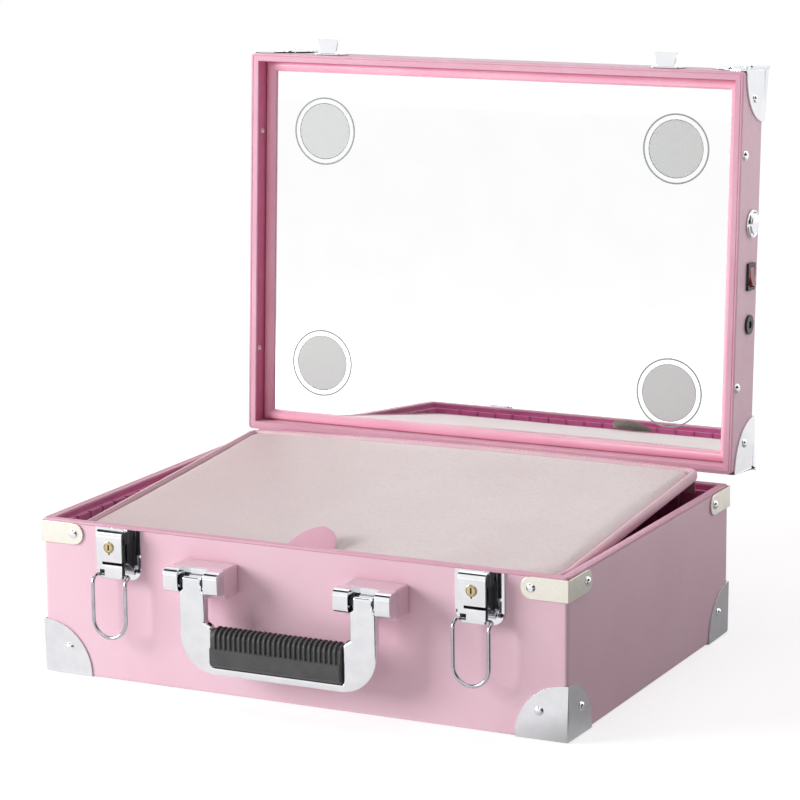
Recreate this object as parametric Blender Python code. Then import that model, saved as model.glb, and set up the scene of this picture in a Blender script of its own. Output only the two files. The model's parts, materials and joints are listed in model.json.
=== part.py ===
"""A makeup train case with a lighted mirror in its lid, standing open.

Metres, +Z up, origin at the middle of the underside. The front, with the handle and the latches,
faces -Y. Lid pieces are modelled in the closed position, around the hinge line, and one empty
turns them open. Hardware on the front is placed from the rim down, as a case maker would.
"""

import bpy
from math import cos, pi, radians, sin
from mathutils import Matrix, Vector

# Case body
WIDTH = 0.420
DEPTH = 0.306
BASE_HEIGHT = 0.117
LID_DEPTH = 0.046
WALL = 0.006
PANEL = 0.005
EDGE_RADIUS = 0.003
RIM_THICKNESS = 0.0017
OPEN_ANGLE = 93.2
GAP = 0.0003  # left between pieces that touch
LID_SEAM = 0.0004  # between the two rims when the lid is shut

# Hinges, with their pins outside the back wall
HINGE_OFFSET = 0.005
HINGE_LIFT = 0.0008
HINGE_WIDTH = 0.040
HINGE_INSET = 0.075
LEAF_HEIGHT = 0.026
KNUCKLE_RADIUS = 0.0031
PIN_RADIUS = 0.0015
PIN_CLEARANCE = 0.0004
PIN_INSET = 0.002  # from a leaf's end to the pin's
LEAF_DROP = 0.004  # from each rim to its leaf
KNUCKLE_HALF = 0.0068  # half the lid's middle knuckle
HINGE_WEB = 0.003
WEB_TO_PIN = 0.0005
SHEET = 0.0012  # sheet metal of plates and leaves

# Corner hardware
PROTECTOR_RADIUS = 0.0395
PROTECTOR_SHEET = 0.0009
PROTECTOR_MARGIN = 0.002  # of the recess that it is let into
BRACKET_HEIGHT = 0.016
BRACKET_DROP = 0.0015  # from the rim's top to the bracket's
FRONT_BRACKET_LEG = 0.035
SIDE_BRACKET_LEG = 0.039
BACK_BRACKET_LEG = 0.033

# Latches
PLATE_WIDTH = 0.0375
PLATE_HEIGHT = 0.0375
PLATE_CORNER = 0.009
EAR_SHEET = 0.0014
EAR_GAP = 0.0005  # between an ear and the lever's web
EAR_NOSE = 0.0026
EAR_RISE = 0.0019
EAR_TAIL = 0.004
LATCH_GAP = 0.0117  # from a front bracket to the latch plate
LEVER_WIDTH = 0.0212
LEVER_FRONT = 0.015
LEVER_SKIN = 0.0045
LEVER_LENGTH = 0.0337
COVER_ROUND = 0.0053  # height of the cover's rounded top
WEB_WIDTH = 0.013
WEB_TOE = 0.006
LEVER_HUB = 0.0046
BARREL_RADIUS = 0.0029
BARREL_INSET = 0.002
LEVER_PIVOT_DROP = 0.005
LEVER_PIVOT_OFFSET = 0.0075
LOOP_DROP = 0.0345
LOOP_OFFSET = 0.010
LOOP_LENGTH = 0.0448
LOOP_HALF_WIDTH = 0.0124
LOOP_BEND = 0.002
WIRE_RADIUS = 0.0012
LOCK_RADIUS = 0.0034
LOCK_DROP = 0.0125
LOCK_DEPTH = 0.0049
LOCK_PROUD = 0.0008
KEYWAY_WIDTH = 0.0012
KEYWAY_HEIGHT = 0.0044
KEYWAY_DEPTH = 0.003
KEEPER_WIDTH = 0.024
KEEPER_HEIGHT = 0.020
KEEPER_CORNER = 0.003
KEEPER_RISE = 0.0042  # from the lid's rim to its plate
HOOK_HALF = 0.007
HOOK_SHELF = 0.0015
HOOK_LIP = 0.0028
HOOK_SHEET = 0.001

# Handle
LATCH_TO_ARM = 0.0765  # middle of a latch to the middle of a handle arm
ARM_WIDTH = 0.020
ARM_THICKNESS = 0.0068
MOUNT_WIDTH = 0.044
MOUNT_HEIGHT = 0.022
MOUNT_DEPTH = 0.020
MOUNT_CORNER = 0.002
MOUNT_SHIFT = 0.0019  # its middle below the handle's axis
CLEVIS_HALF = 0.0088
CLEVIS_REACH = 0.0055
CLEVIS_CORNER = 0.005
HANDLE_PIN_INSET = 0.001
HANDLE_PIVOT_DROP = 0.0266
HANDLE_PIVOT_OFFSET = 0.026
HANDLE_LENGTH = 0.066
HANDLE_CORNER = 0.012
HANDLE_HUB = 0.004
BAR_HEIGHT = 0.006
GRIP_HEIGHT = 0.029
GRIP_THICKNESS = 0.016
GRIP_CORNER = 0.0065
GRIP_SHOULDER = 0.006  # from an arm's inner side to the grip's end
SHOULDER_LOW = 0.001  # the shoulder's slope starts this far below the grip's top
SHOULDER_HIGH = 0.003  # and ends this far above it

# Inside of the base
LINER = 0.005
LINER_DROP = 0.005  # from the rim's top to the liner's
SLOT_PITCH = 0.0175
SLOT_WIDTH = 0.0026
SLOT_DEPTH = 0.003
FLOOR_LINER = 0.0015
DIVIDER = 0.002
DIVIDER_DROP = 0.0249  # from the rim's top to the dividers'

# Padded flap over the contents
FLAP_THICKNESS = 0.0085
FLAP_FRONT_DROP = 0.0090  # its top at the front, below the rim
FLAP_REAR_RISE = 0.0148  # its top at the back, above the rim
FLAP_SIDE_CLEARANCE = 0.0045
FLAP_FRONT_CLEARANCE = 0.0018
FLAP_BACK_CLEARANCE = 0.0027  # behind the mirror's moulding when the lid is shut
FLAP_CORNER = 0.035
TAB_WIDTH = 0.038
TAB_LENGTH = 0.026
TAB_THICKNESS = 0.002
TAB_ANGLE = 20.0
TAB_INSET = 0.0075

# Mirror and lights
MIRROR_RECESS = 0.017
GLASS = 0.0025
GLASS_CLEARANCE = 0.003
BACKING = 0.0025
BEAD_WIDTH = 0.0083
BEAD_HEIGHT = 0.0043
BEAD_EDGE = 0.0005  # straight part of the moulding's sides
LIGHT_RADIUS = 0.0222
LIGHT_LIP = 0.001  # of the backing behind a light
LIGHT_INSET_X = 0.0587  # light's middle from the side of the case
LIGHT_INSET_FRONT = 0.0613
LIGHT_INSET_BACK = 0.0563
BOARD_RADIUS = 0.025
BOARD_THICKNESS = 0.0016
DRIVER_X = 0.0825
DRIVER_LENGTH = 0.065
DRIVER_WIDTH = 0.040
DRIVER_CLEARANCE = 0.002

# Controls on the lid's right side
CONTROL_DEPTH = 0.015
CONTROL_CLEARANCE = 0.0008  # between the dimmer's body and the mirror's back
CONTROL_SEAT = 0.001  # overlap of a body and its bezel
NOTCH_MARGIN = 0.004  # of the backing's cutout round the controls
DIMMER_Y = -0.037
DIMMER_BEZEL_RADIUS = 0.011
DIMMER_BEZEL = 0.0022
DIMMER_BODY_RADIUS = 0.0072
KNOB_RADIUS = 0.0082
KNOB_HEIGHT = 0.0042
SHAFT_RADIUS = 0.0025
SHAFT_DEPTH = 0.0095
SHAFT_BORE_DEPTH = 0.010
SWITCH_Y = 0.0035
SWITCH_LENGTH = 0.021
SWITCH_WIDTH = 0.015
SWITCH_BEZEL = 0.0018
SWITCH_STEP = 0.0009  # from the bezel's edge to the body's
SWITCH_CORNER = 0.001
SWITCH_POCKET = 0.009
POCKET_CLEARANCE = 0.0004
ROCKER_LENGTH = 0.0152
ROCKER_WIDTH = 0.0090
ROCKER_TILT = 10.0
ROCKER_SET_IN = 0.0015  # its axis below the top face's middle
ROCKER_PROUD = 0.001
ROCKER_RISE = 0.0012
ROCKER_END = 18.0
JACK_Y = 0.0405
JACK_RADIUS = 0.0076
JACK_BODY_RADIUS = 0.0055
JACK_BORE = 0.003
JACK_BORE_DEPTH = 0.009
JACK_BEZEL = 0.0016
JACK_PIN = 0.001

# Extra length of a cutter past what it cuts
PAST = 0.01

# Worked out from the sizes above
HALF_W = WIDTH / 2
HALF_D = DEPTH / 2
RIM_BOTTOM = BASE_HEIGHT - RIM_THICKNESS
LID_RIM = BASE_HEIGHT + LID_SEAM
LID_TOP = BASE_HEIGHT + LID_DEPTH + LID_SEAM
HINGE = Vector((0, HALF_D + HINGE_OFFSET, BASE_HEIGHT + HINGE_LIFT))
FRONT = -HALF_D
LATCH_X = HALF_W - FRONT_BRACKET_LEG - LATCH_GAP - PLATE_WIDTH / 2
ARM_X = LATCH_X - LATCH_TO_ARM
LOCK_Z = BASE_HEIGHT - LOCK_DROP
LATCH_TOP = BASE_HEIGHT - BRACKET_DROP
FLOOR_TOP = PANEL + GAP + FLOOR_LINER
INNER_X = HALF_W - WALL
INNER_Y = HALF_D - WALL
LINER_X = INNER_X - GAP - LINER
LINER_Y = INNER_Y - GAP - LINER
MIRROR_FACE = LID_RIM + MIRROR_RECESS
GLASS_BACK = MIRROR_FACE + GLASS
BACKING_BACK = GLASS_BACK + GAP + BACKING
CAVITY_TOP = LID_TOP - PANEL
CONTROL_Z = GLASS_BACK + GAP + DIMMER_BODY_RADIUS + CONTROL_CLEARANCE


def colour(name, rgb, roughness, metallic=0.0):
    """A plain Principled material."""
    material = bpy.data.materials.new(name)
    material.use_nodes = True
    shader = material.node_tree.nodes["Principled BSDF"]
    shader.inputs["Base Color"].default_value = (*rgb, 1)
    shader.inputs["Roughness"].default_value = roughness
    shader.inputs["Metallic"].default_value = metallic
    material.diffuse_color = (*rgb, 1)
    return material


def palette():
    return {
        "vinyl": colour("pink_vinyl", (0.80, 0.50, 0.60), 0.55),
        "edging": colour("pink_edging", (0.75, 0.42, 0.52), 0.45),
        "liner": colour("magenta_liner", (0.55, 0.12, 0.30), 0.80),
        "satin": colour("pink_satin", (0.95, 0.50, 0.62), 0.35),
        "flap": colour("greige_leatherette", (0.72, 0.64, 0.63), 0.60),
        "board": colour("hardboard", (0.25, 0.14, 0.08), 0.80),
        "circuit": colour("circuit_board", (0.85, 0.85, 0.82), 0.50),
        "chrome": colour("chrome", (0.85, 0.85, 0.86), 0.08, 1.0),
        "nickel": colour("satin_nickel", (0.80, 0.78, 0.72), 0.28, 1.0),
        "brass": colour("brass", (0.75, 0.55, 0.22), 0.25, 1.0),
        "mirror": colour("mirror", (0.95, 0.95, 0.95), 0.02, 1.0),
        "frosted": colour("frosted_glass", (0.72, 0.74, 0.73), 0.60),
        "black": colour("black_plastic", (0.02, 0.02, 0.02), 0.45),
        "red": colour("red_plastic", (0.55, 0.02, 0.02), 0.35),
        "rubber": colour("black_rubber", (0.02, 0.02, 0.02), 0.60),
    }


# Outlines and meshes


def mesh_of(points, faces):
    mesh = bpy.data.meshes.new("piece")
    mesh.from_pydata([tuple(point) for point in points], [], faces)
    mesh.validate()
    return mesh


def box(low, high):
    """A box between two opposite corners."""
    x0, y0, z0 = (min(a, b) for a, b in zip(low, high))
    x1, y1, z1 = (max(a, b) for a, b in zip(low, high))
    return prism([(x0, y0), (x1, y0), (x1, y1), (x0, y1)], "z", z0, z1)


def area(outline):
    following = outline[1:] + outline[:1]
    return sum(a[0] * b[1] - b[0] * a[1] for a, b in zip(outline, following)) / 2


def lifted(axis, first, second, along):
    """A point from its two coordinates in an outline and its place along the outline's axis.

    Outlines are drawn in (y, z) along x, (z, x) along y and (x, y) along z.
    """
    if axis == "x":
        return (along, first, second)
    if axis == "y":
        return (second, along, first)
    return (first, second, along)


def prism(outline, axis, start, end):
    """An outline given thickness along an axis, with its faces pointing out."""
    if area(outline) < 0:
        outline = outline[::-1]
    start, end = min(start, end), max(start, end)
    count = len(outline)
    points = [lifted(axis, a, b, start) for a, b in outline]
    points += [lifted(axis, a, b, end) for a, b in outline]
    faces = [list(range(count))[::-1], list(range(count, 2 * count))]
    for i in range(count):
        j = (i + 1) % count
        faces.append([i, j, count + j, count + i])
    return mesh_of(points, faces)


def tube(outer, inner, axis, start, end):
    """A prism with a hole right through it: two outlines with equally many points, in step."""
    if area(outer) < 0:
        outer, inner = outer[::-1], inner[::-1]
    start, end = min(start, end), max(start, end)
    n = len(outer)
    rings = [(at, ring) for at in (start, end) for ring in (outer, inner)]
    points = [lifted(axis, a, b, at) for at, ring in rings for a, b in ring]
    faces = []
    for i in range(n):
        j = (i + 1) % n
        faces.append([i, j, 2 * n + j, 2 * n + i])
        faces.append([n + j, n + i, 3 * n + i, 3 * n + j])
        faces.append([2 * n + i, 2 * n + j, 3 * n + j, 3 * n + i])
        faces.append([j, i, n + i, n + j])
    return mesh_of(points, faces)


def arc(centre, radius, first, last, steps):
    """Points along an arc, with angles in degrees."""
    angles = [radians(first + (last - first) * i / steps) for i in range(steps + 1)]
    return [(centre[0] + radius * cos(a), centre[1] + radius * sin(a)) for a in angles]


def circle(centre, radius, sides):
    return arc(centre, radius, 0, 360, sides)[:-1]


def rounded(half_a, half_b, radius, steps=3, centre=(0, 0)):
    """A rectangle's outline with rounded corners."""
    outline = []
    for turn, (sa, sb) in enumerate(((1, 1), (-1, 1), (-1, -1), (1, -1))):
        middle = (centre[0] + sa * (half_a - radius), centre[1] + sb * (half_b - radius))
        outline += arc(middle, radius, 90 * turn, 90 * turn + 90, steps)
    return outline


def rod(axis, centre, radius, start, end, sides=16):
    """A round bar along an axis, its centre given as in an outline."""
    return prism(circle(centre, radius, sides), axis, start, end)


def combined(first, second, operation):
    """The union, difference or intersection of two meshes, as a new mesh."""
    body = bpy.data.objects.new("body", first)
    tool = bpy.data.objects.new("tool", second)
    for item in (body, tool):
        bpy.context.scene.collection.objects.link(item)
    modifier = body.modifiers.new("combine", "BOOLEAN")
    modifier.operation = operation
    modifier.object = tool
    modifier.solver = "EXACT"
    graph = bpy.context.evaluated_depsgraph_get()
    result = bpy.data.meshes.new_from_object(body.evaluated_get(graph))
    for item in (body, tool):
        bpy.data.objects.remove(item)
    return result


def union(first, *others):
    for other in others:
        first = combined(first, other, "UNION")
    return first


def cut(first, *tools):
    for tool in tools:
        first = combined(first, tool, "DIFFERENCE")
    return first


def moved(mesh, offset):
    copy = mesh.copy()
    copy.transform(Matrix.Translation(offset))
    return copy


# Placing


def add(name, mesh, material, pivot=None):
    """A named piece, drawn in world coordinates and hung on its pivot, if it has one."""
    piece = bpy.data.objects.new(name, mesh)
    piece.data.materials.clear()
    piece.data.materials.append(material)
    piece.data.shade_smooth()
    piece.data.set_sharp_from_angle(angle=radians(30))
    bpy.context.scene.collection.objects.link(piece)
    if pivot:
        piece.parent = pivot[0]
        piece.location = -pivot[1]
    return piece


def pivot_at(name, point, carrier=None, turned=0.0):
    """An empty on a joint's axis, which may itself hang on another one."""
    empty = bpy.data.objects.new(name, None)
    empty.empty_display_size = 0.02
    bpy.context.scene.collection.objects.link(empty)
    point = Vector(point)
    empty.location = point
    if carrier:
        empty.parent = carrier[0]
        empty.location = point - carrier[1]
    empty.rotation_euler.x = radians(turned)
    return empty, point


# Base


def base_shell():
    outer = rounded(HALF_W, HALF_D, EDGE_RADIUS)
    shell = prism(outer, "z", 0, RIM_BOTTOM - GAP)
    shell = cut(shell, box((-INNER_X, -INNER_Y, PANEL), (INNER_X, INNER_Y, BASE_HEIGHT)))
    reach = PROTECTOR_RADIUS + PROTECTOR_MARGIN
    depth = PROTECTOR_SHEET + GAP
    for sx in (-1, 1):
        for sy in (-1, 1):
            inner = (sx * (HALF_W - reach), sy * (HALF_D - reach), depth)
            outside = (sx * (HALF_W + PAST), sy * (HALF_D + PAST), -PAST)
            shell = cut(shell, box(inner, outside))
    return shell


def rim(bottom, top):
    outer = rounded(HALF_W, HALF_D, EDGE_RADIUS)
    inner = rounded(INNER_X - GAP, INNER_Y - GAP, EDGE_RADIUS / 2)
    return tube(outer, inner, "z", bottom, top)


def slot_places(length):
    """Middles of the slots along a wall, counted out from the wall's middle."""
    count = int((length / 2 - 2 * SLOT_WIDTH - SLOT_DEPTH) / SLOT_PITCH)
    return [SLOT_PITCH * i for i in range(-count, count + 1)]


def notched_side(half_length, at, outwards):
    """One side of the liner's inner outline, from one corner to the next, with its slots."""
    side = [(-half_length, at)]
    for middle in slot_places(2 * half_length):
        left, right = middle - SLOT_WIDTH / 2, middle + SLOT_WIDTH / 2
        deep = at + outwards * SLOT_DEPTH
        side += [(left, at), (left, deep), (right, deep), (right, at)]
    return side


def slotted_liner():
    inner = notched_side(LINER_X, -LINER_Y, -1)
    inner += [(b, a) for a, b in notched_side(LINER_Y, LINER_X, 1)]
    inner += [(-a, b) for a, b in notched_side(LINER_X, LINER_Y, 1)]
    inner += [(b, -a) for a, b in notched_side(LINER_Y, -LINER_X, -1)]
    bottom, top = FLOOR_TOP + GAP, BASE_HEIGHT - LINER_DROP
    block = box((GAP - INNER_X, GAP - INNER_Y, bottom), (INNER_X - GAP, INNER_Y - GAP, top))
    return cut(block, prism(inner, "z", bottom - PAST, top + PAST))


def dividers(colours):
    """A long divider between the end walls and two short ones from it to the front wall."""
    bottom, top = FLOOR_TOP + GAP, BASE_HEIGHT - DIVIDER_DROP
    half = DIVIDER / 2
    long_y = SLOT_PITCH
    reach_x = LINER_X + SLOT_DEPTH - 2 * GAP
    reach_y = LINER_Y + SLOT_DEPTH - 2 * GAP
    low, high = (-reach_x, long_y - half, bottom), (reach_x, long_y + half, top)
    add("divider_long", box(low, high), colours["liner"])
    cross_x = SLOT_PITCH * round(LINER_X / 3 / SLOT_PITCH)
    for side, sign in (("left", -1), ("right", 1)):
        low = (sign * cross_x - half, -reach_y, bottom)
        high = (sign * cross_x + half, long_y - half - GAP, top)
        add(f"divider_cross_{side}", box(low, high), colours["liner"])


# Corner hardware


def protector():
    """Three sheet-metal quarter discs around a corner at the origin, with the case at +X +Y +Z."""
    low, far = -GAP - PROTECTOR_SHEET, PROTECTOR_RADIUS
    inside = box((-GAP, -GAP, -GAP), (2 * far, 2 * far, 2 * far))
    shell = cut(box((low, low, low), (far, far, far)), inside)
    return combined(shell, ball(PROTECTOR_RADIUS, 48), "INTERSECT")


def ball(radius, sides):
    """A ball round the origin, from rings of points between its two poles."""
    rings = sides // 2
    points = [(0, 0, -radius)]
    for ring in range(1, rings):
        latitude = pi * ring / rings - pi / 2
        level = circle((0, 0), radius * cos(latitude), sides)
        points += [(x, y, radius * sin(latitude)) for x, y in level]
    points.append((0, 0, radius))
    top, last = len(points) - 1, 1 + (rings - 2) * sides
    faces = []
    for i in range(sides):
        j = (i + 1) % sides
        faces.append([0, 1 + j, 1 + i])
        faces.append([last + i, last + j, top])
        for start in range(1, last, sides):
            faces.append([start + i, start + j, start + sides + j, start + sides + i])
    return mesh_of(points, faces)


def mirrored(mesh, sx, sy, sz):
    """A copy turned into another octant, with its faces still pointing out."""
    copy = mesh.copy()
    copy.transform(Matrix.Diagonal((sx, sy, sz, 1)))
    if sx * sy * sz < 0:
        copy.flip_normals()
    return copy


def corner_name(sx, sy):
    return ("front" if sy < 0 else "back") + ("_left" if sx < 0 else "_right")


def protectors(colours, lid):
    piece = protector()
    bottom = PROTECTOR_SHEET + GAP
    for sx in (-1, 1):
        for sy in (-1, 1):
            base = moved(mirrored(piece, -sx, -sy, 1), (sx * HALF_W, sy * HALF_D, bottom))
            add(f"base_corner_{corner_name(sx, sy)}", base, colours["chrome"])
            upper = moved(mirrored(piece, -sx, -sy, -1), (sx * HALF_W, sy * HALF_D, LID_TOP))
            add(f"lid_corner_{corner_name(sx, sy)}", upper, colours["chrome"], lid)


def bracket(sx, sy, end_leg):
    """An angle strap round one upright edge just under the rim, level with the latches, with round ends."""
    radius = BRACKET_HEIGHT / 2
    middle = LATCH_TOP - radius
    near, far = GAP, GAP + SHEET
    end = arc((middle, HALF_W - end_leg + radius), radius, 0, -180, 8)
    face = [(middle + radius, HALF_W + far), *end, (middle - radius, HALF_W + far)]
    strap = prism(face, "y", HALF_D + near, HALF_D + far)
    end = arc((HALF_D - SIDE_BRACKET_LEG + radius, middle), radius, 90, 270, 8)
    face = [(HALF_D + far, middle + radius), *end, (HALF_D + far, middle - radius)]
    return mirrored(union(strap, prism(face, "x", HALF_W + near, HALF_W + far)), sx, sy, 1)


def brackets(colours):
    for sx in (-1, 1):
        for sy, leg in ((-1, FRONT_BRACKET_LEG), (1, BACK_BRACKET_LEG)):
            add(f"rim_bracket_{corner_name(sx, sy)}", bracket(sx, sy, leg), colours["nickel"])


# Hinges


def hinge_pair(colours, lid):
    half, inset = HINGE_WIDTH / 2, HALF_W - HINGE_INSET
    axis = (HINGE.y, HINGE.z)
    near, far = HALF_D + GAP, HALF_D + GAP + SHEET
    web_end = HINGE.y + KNUCKLE_RADIUS / 3
    for side, x in (("left", -inset), ("right", inset)):
        high = BASE_HEIGHT - LEAF_DROP
        leaf = box((x - half, near, high - LEAF_HEIGHT), (x + half, far, high))
        for sign in (-1, 1):
            inner, outer = x + sign * (KNUCKLE_HALF + GAP), x + sign * half
            web = box((inner, near, high - HINGE_WEB), (outer, web_end, HINGE.z - WEB_TO_PIN))
            leaf = union(leaf, web, rod("x", axis, KNUCKLE_RADIUS, inner, outer))
        leaf = union(leaf, rod("x", axis, PIN_RADIUS, x - half + PIN_INSET, x + half - PIN_INSET, 12))
        add(f"hinge_base_leaf_{side}", leaf, colours["nickel"])

        low = LID_RIM + LEAF_DROP
        leaf = box((x - half, near, low), (x + half, far, low + LEAF_HEIGHT))
        inner, outer = x - KNUCKLE_HALF, x + KNUCKLE_HALF
        web = box((inner, near, HINGE.z + WEB_TO_PIN), (outer, web_end, low + HINGE_WEB))
        leaf = union(leaf, web, rod("x", axis, KNUCKLE_RADIUS, inner, outer))
        bore = rod("x", axis, PIN_RADIUS + PIN_CLEARANCE, x - half, x + half, 12)
        add(f"hinge_lid_leaf_{side}", cut(leaf, bore), colours["nickel"], lid)


# Latches. Outlines are in (y, z), with y counted from the front wall outwards as FRONT - offset.


def out(offset):
    """World y of a point this far in front of the front wall."""
    return FRONT - offset


def lever_pin():
    """Where the lever's pin is, as outlines along x give it."""
    return (out(LEVER_PIVOT_OFFSET), BASE_HEIGHT - LEVER_PIVOT_DROP)


def loop_pin():
    return (out(LOOP_OFFSET), BASE_HEIGHT - LOOP_DROP)


def latch_plate(x):
    """The plate, with an ear each side of the lever's web and the pin between them."""
    half, low, radius = PLATE_WIDTH / 2, LATCH_TOP - PLATE_HEIGHT, PLATE_CORNER
    face = [(LATCH_TOP, x - half), (LATCH_TOP, x + half)]
    face += arc((low + radius, x + half - radius), radius, 90, 180, 5)
    face += arc((low + radius, x - half + radius), radius, 180, 270, 5)
    plate = prism(face, "y", out(GAP), out(GAP + SHEET))
    pin = lever_pin()
    seat, high, low = out(GAP + SHEET / 2), pin[1] + EAR_RISE, pin[1] - EAR_NOSE - EAR_TAIL
    ear_inner = WEB_WIDTH / 2 + EAR_GAP
    ear_outer = ear_inner + EAR_SHEET
    for sign in (-1, 1):
        inner, outer = x + sign * ear_inner, x + sign * ear_outer
        ear = prism([(seat, high), (pin[0], high), (pin[0], low), (seat, low)], "x", inner, outer)
        plate = union(plate, ear, rod("x", pin, EAR_NOSE, inner, outer))
    pin_end = ear_outer - PIN_CLEARANCE
    return union(plate, rod("x", pin, PIN_RADIUS, x - pin_end, x + pin_end, 12))


def latch_lever(x):
    """The cover that swings out, with the web that turns on the pin and the barrel for the loop."""
    half, web_half, pin = LEVER_WIDTH / 2, WEB_WIDTH / 2, lever_pin()
    inner, low = LEVER_FRONT - LEVER_SKIN, BASE_HEIGHT - LEVER_LENGTH
    skin = [(out(inner), low), (out(LEVER_FRONT), low)]
    for angle in (0, pi / 6, pi / 3, pi / 2):
        skin.append((out(inner + LEVER_SKIN * cos(angle)), pin[1] + COVER_ROUND * sin(angle)))
    lever = prism(skin, "x", x - half, x + half)
    back, seat = LEVER_PIVOT_OFFSET - LEVER_HUB, inner + GAP
    web = [(out(back), pin[1]), (out(seat), pin[1]), (out(seat), low + GAP), (out(back), low + WEB_TOE)]
    lever = union(lever, prism(web, "x", x - web_half, x + web_half))
    lever = union(lever, rod("x", pin, LEVER_HUB, x - web_half, x + web_half, 24))
    barrel = half - BARREL_INSET
    lever = union(lever, rod("x", loop_pin(), BARREL_RADIUS, x - barrel, x + barrel))
    start, end = x - half - PAST, x + half + PAST
    lever = cut(lever, rod("x", pin, PIN_RADIUS + PIN_CLEARANCE, start, end, 12))
    lever = cut(lever, rod("x", loop_pin(), WIRE_RADIUS + PIN_CLEARANCE, start, end, 12))
    hole_end = out(LEVER_FRONT - LOCK_DEPTH - GAP)
    return cut(lever, rod("y", (LOCK_Z, x), LOCK_RADIUS + GAP, hole_end, out(LEVER_FRONT + PAST)))


def latch_lock(x):
    """The key cylinder in the cover, with its keyway."""
    inner, outer = out(LEVER_FRONT - LOCK_DEPTH), out(LEVER_FRONT + LOCK_PROUD)
    plug = rod("y", (LOCK_Z, x), LOCK_RADIUS, inner, outer)
    half_x, half_z = KEYWAY_WIDTH / 2, KEYWAY_HEIGHT / 2
    low = (x - half_x, out(LEVER_FRONT - KEYWAY_DEPTH), LOCK_Z - half_z)
    return cut(plug, box(low, (x + half_x, out(LEVER_FRONT + PAST), LOCK_Z + half_z)))


def latch_loop(x):
    """The wire loop: its straight bar turns in the lever's barrel, its round end catches the keeper."""
    y, top = loop_pin()
    half, bend = LOOP_HALF_WIDTH, LOOP_BEND
    route = arc((x + half - bend, top - bend), bend, 90, 0, 4)
    route += arc((x, top - LOOP_LENGTH + half), half, 0, -180, 16)
    route += arc((x - half + bend, top - bend), bend, 180, 90, 4)
    return swept_loop([Vector((px, y, pz)) for px, pz in route], Vector((0, 1, 0)), WIRE_RADIUS, 10)


def swept_loop(route, normal, radius, sides):
    """A closed flat loop of round wire."""
    count = len(route)
    points = []
    for i, point in enumerate(route):
        before = (point - route[i - 1]).normalized()
        after = (route[(i + 1) % count] - point).normalized()
        across = (before + after).normalized().cross(normal)
        mitre = across / cos(before.angle(after) / 2)
        for a, b in circle((0, 0), radius, sides):
            points.append(point + mitre * a + normal * b)
    return ringed(points, count, sides)


def ringed(points, count, sides):
    """A closed chain of rings, each with as many points, as a mesh with its faces pointing out."""
    faces = []
    for i in range(count):
        here, there = i * sides, (i + 1) % count * sides
        for k in range(sides):
            following = (k + 1) % sides
            faces.append([here + k, here + following, there + following, there + k])
    mesh = mesh_of(points, faces)
    if volume(mesh) < 0:
        mesh.flip_normals()
    return mesh


def volume(mesh):
    mesh.calc_loop_triangles()
    total = 0.0
    for triangle in mesh.loop_triangles:
        a, b, c = (mesh.vertices[i].co for i in triangle.vertices)
        total += a.dot(b.cross(c)) / 6
    return total


def keeper(x):
    """The hook on the lid's front wall, drawn shut, with its shelf just inside the loop's round end."""
    middle = LID_RIM + KEEPER_RISE + KEEPER_HEIGHT / 2
    face = rounded(KEEPER_HEIGHT / 2, KEEPER_WIDTH / 2, KEEPER_CORNER, 3, (middle, x))
    plate = prism(face, "y", out(GAP), out(GAP + SHEET))
    seat, shelf = out(GAP + SHEET / 2), loop_pin()[1] + LOOP_LENGTH - WIRE_RADIUS - GAP
    inside = LOOP_OFFSET + WIRE_RADIUS + GAP
    outside = inside + HOOK_SHEET
    hook = [(seat, shelf), (seat, shelf - HOOK_SHELF), (out(outside), shelf - HOOK_SHELF)]
    hook += [(out(outside), shelf + HOOK_LIP), (out(inside), shelf + HOOK_LIP), (out(inside), shelf)]
    return union(plate, prism(hook, "x", x - HOOK_HALF, x + HOOK_HALF))


def latches(colours, lid):
    for side, x in (("left", -LATCH_X), ("right", LATCH_X)):
        add(f"latch_plate_{side}", latch_plate(x), colours["chrome"])
        add(f"latch_keeper_{side}", keeper(x), colours["chrome"], lid)
        lever = pivot_at(f"latch_lever_axis_{side}", (x, *lever_pin()))
        add(f"latch_lever_{side}", latch_lever(x), colours["chrome"], lever)
        lock = pivot_at(f"latch_lock_axis_{side}", (x, out(LEVER_FRONT), LOCK_Z), lever)
        add(f"latch_lock_{side}", latch_lock(x), colours["brass"], lock)
        loop = pivot_at(f"latch_loop_axis_{side}", (x, *loop_pin()), lever)
        add(f"latch_loop_{side}", latch_loop(x), colours["chrome"], loop)


# Handle


def handle_axis():
    return (out(HANDLE_PIVOT_OFFSET), BASE_HEIGHT - HANDLE_PIVOT_DROP)


def handle_mount(x):
    middle = (handle_axis()[1] - MOUNT_SHIFT, x)
    face = rounded(MOUNT_HEIGHT / 2, MOUNT_WIDTH / 2, MOUNT_CORNER, 3, middle)
    return prism(face, "y", out(GAP), out(MOUNT_DEPTH))


def handle_clevis(x):
    """A plate on the mount's face, with an ear each side of the arm and the pin between them."""
    pin, half, radius = handle_axis(), MOUNT_WIDTH / 2, CLEVIS_CORNER
    back = MOUNT_DEPTH + GAP
    low, high = pin[1] - CLEVIS_HALF, pin[1] + CLEVIS_HALF
    plate = box((x - half, out(back), low), (x + half, out(back + SHEET), high))
    nose, seat = out(HANDLE_PIVOT_OFFSET + CLEVIS_REACH - radius), out(back + SHEET / 2)
    ear = [(seat, low), (seat, high)]
    ear += arc((nose, high - radius), radius, 90, 180, 5)
    ear += arc((nose, low + radius), radius, 180, 270, 5)
    for sign in (-1, 1):
        plate = union(plate, prism(ear, "x", x + sign * (ARM_WIDTH / 2 + GAP), x + sign * half))
    pin_end = half - HANDLE_PIN_INSET
    return union(plate, rod("x", pin, PIN_RADIUS, x - pin_end, x + pin_end, 12))


def grip_half_length():
    return ARM_X - ARM_WIDTH / 2 - GRIP_SHOULDER


def grip_low():
    return handle_axis()[1] - HANDLE_LENGTH + BAR_HEIGHT + GAP


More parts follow.
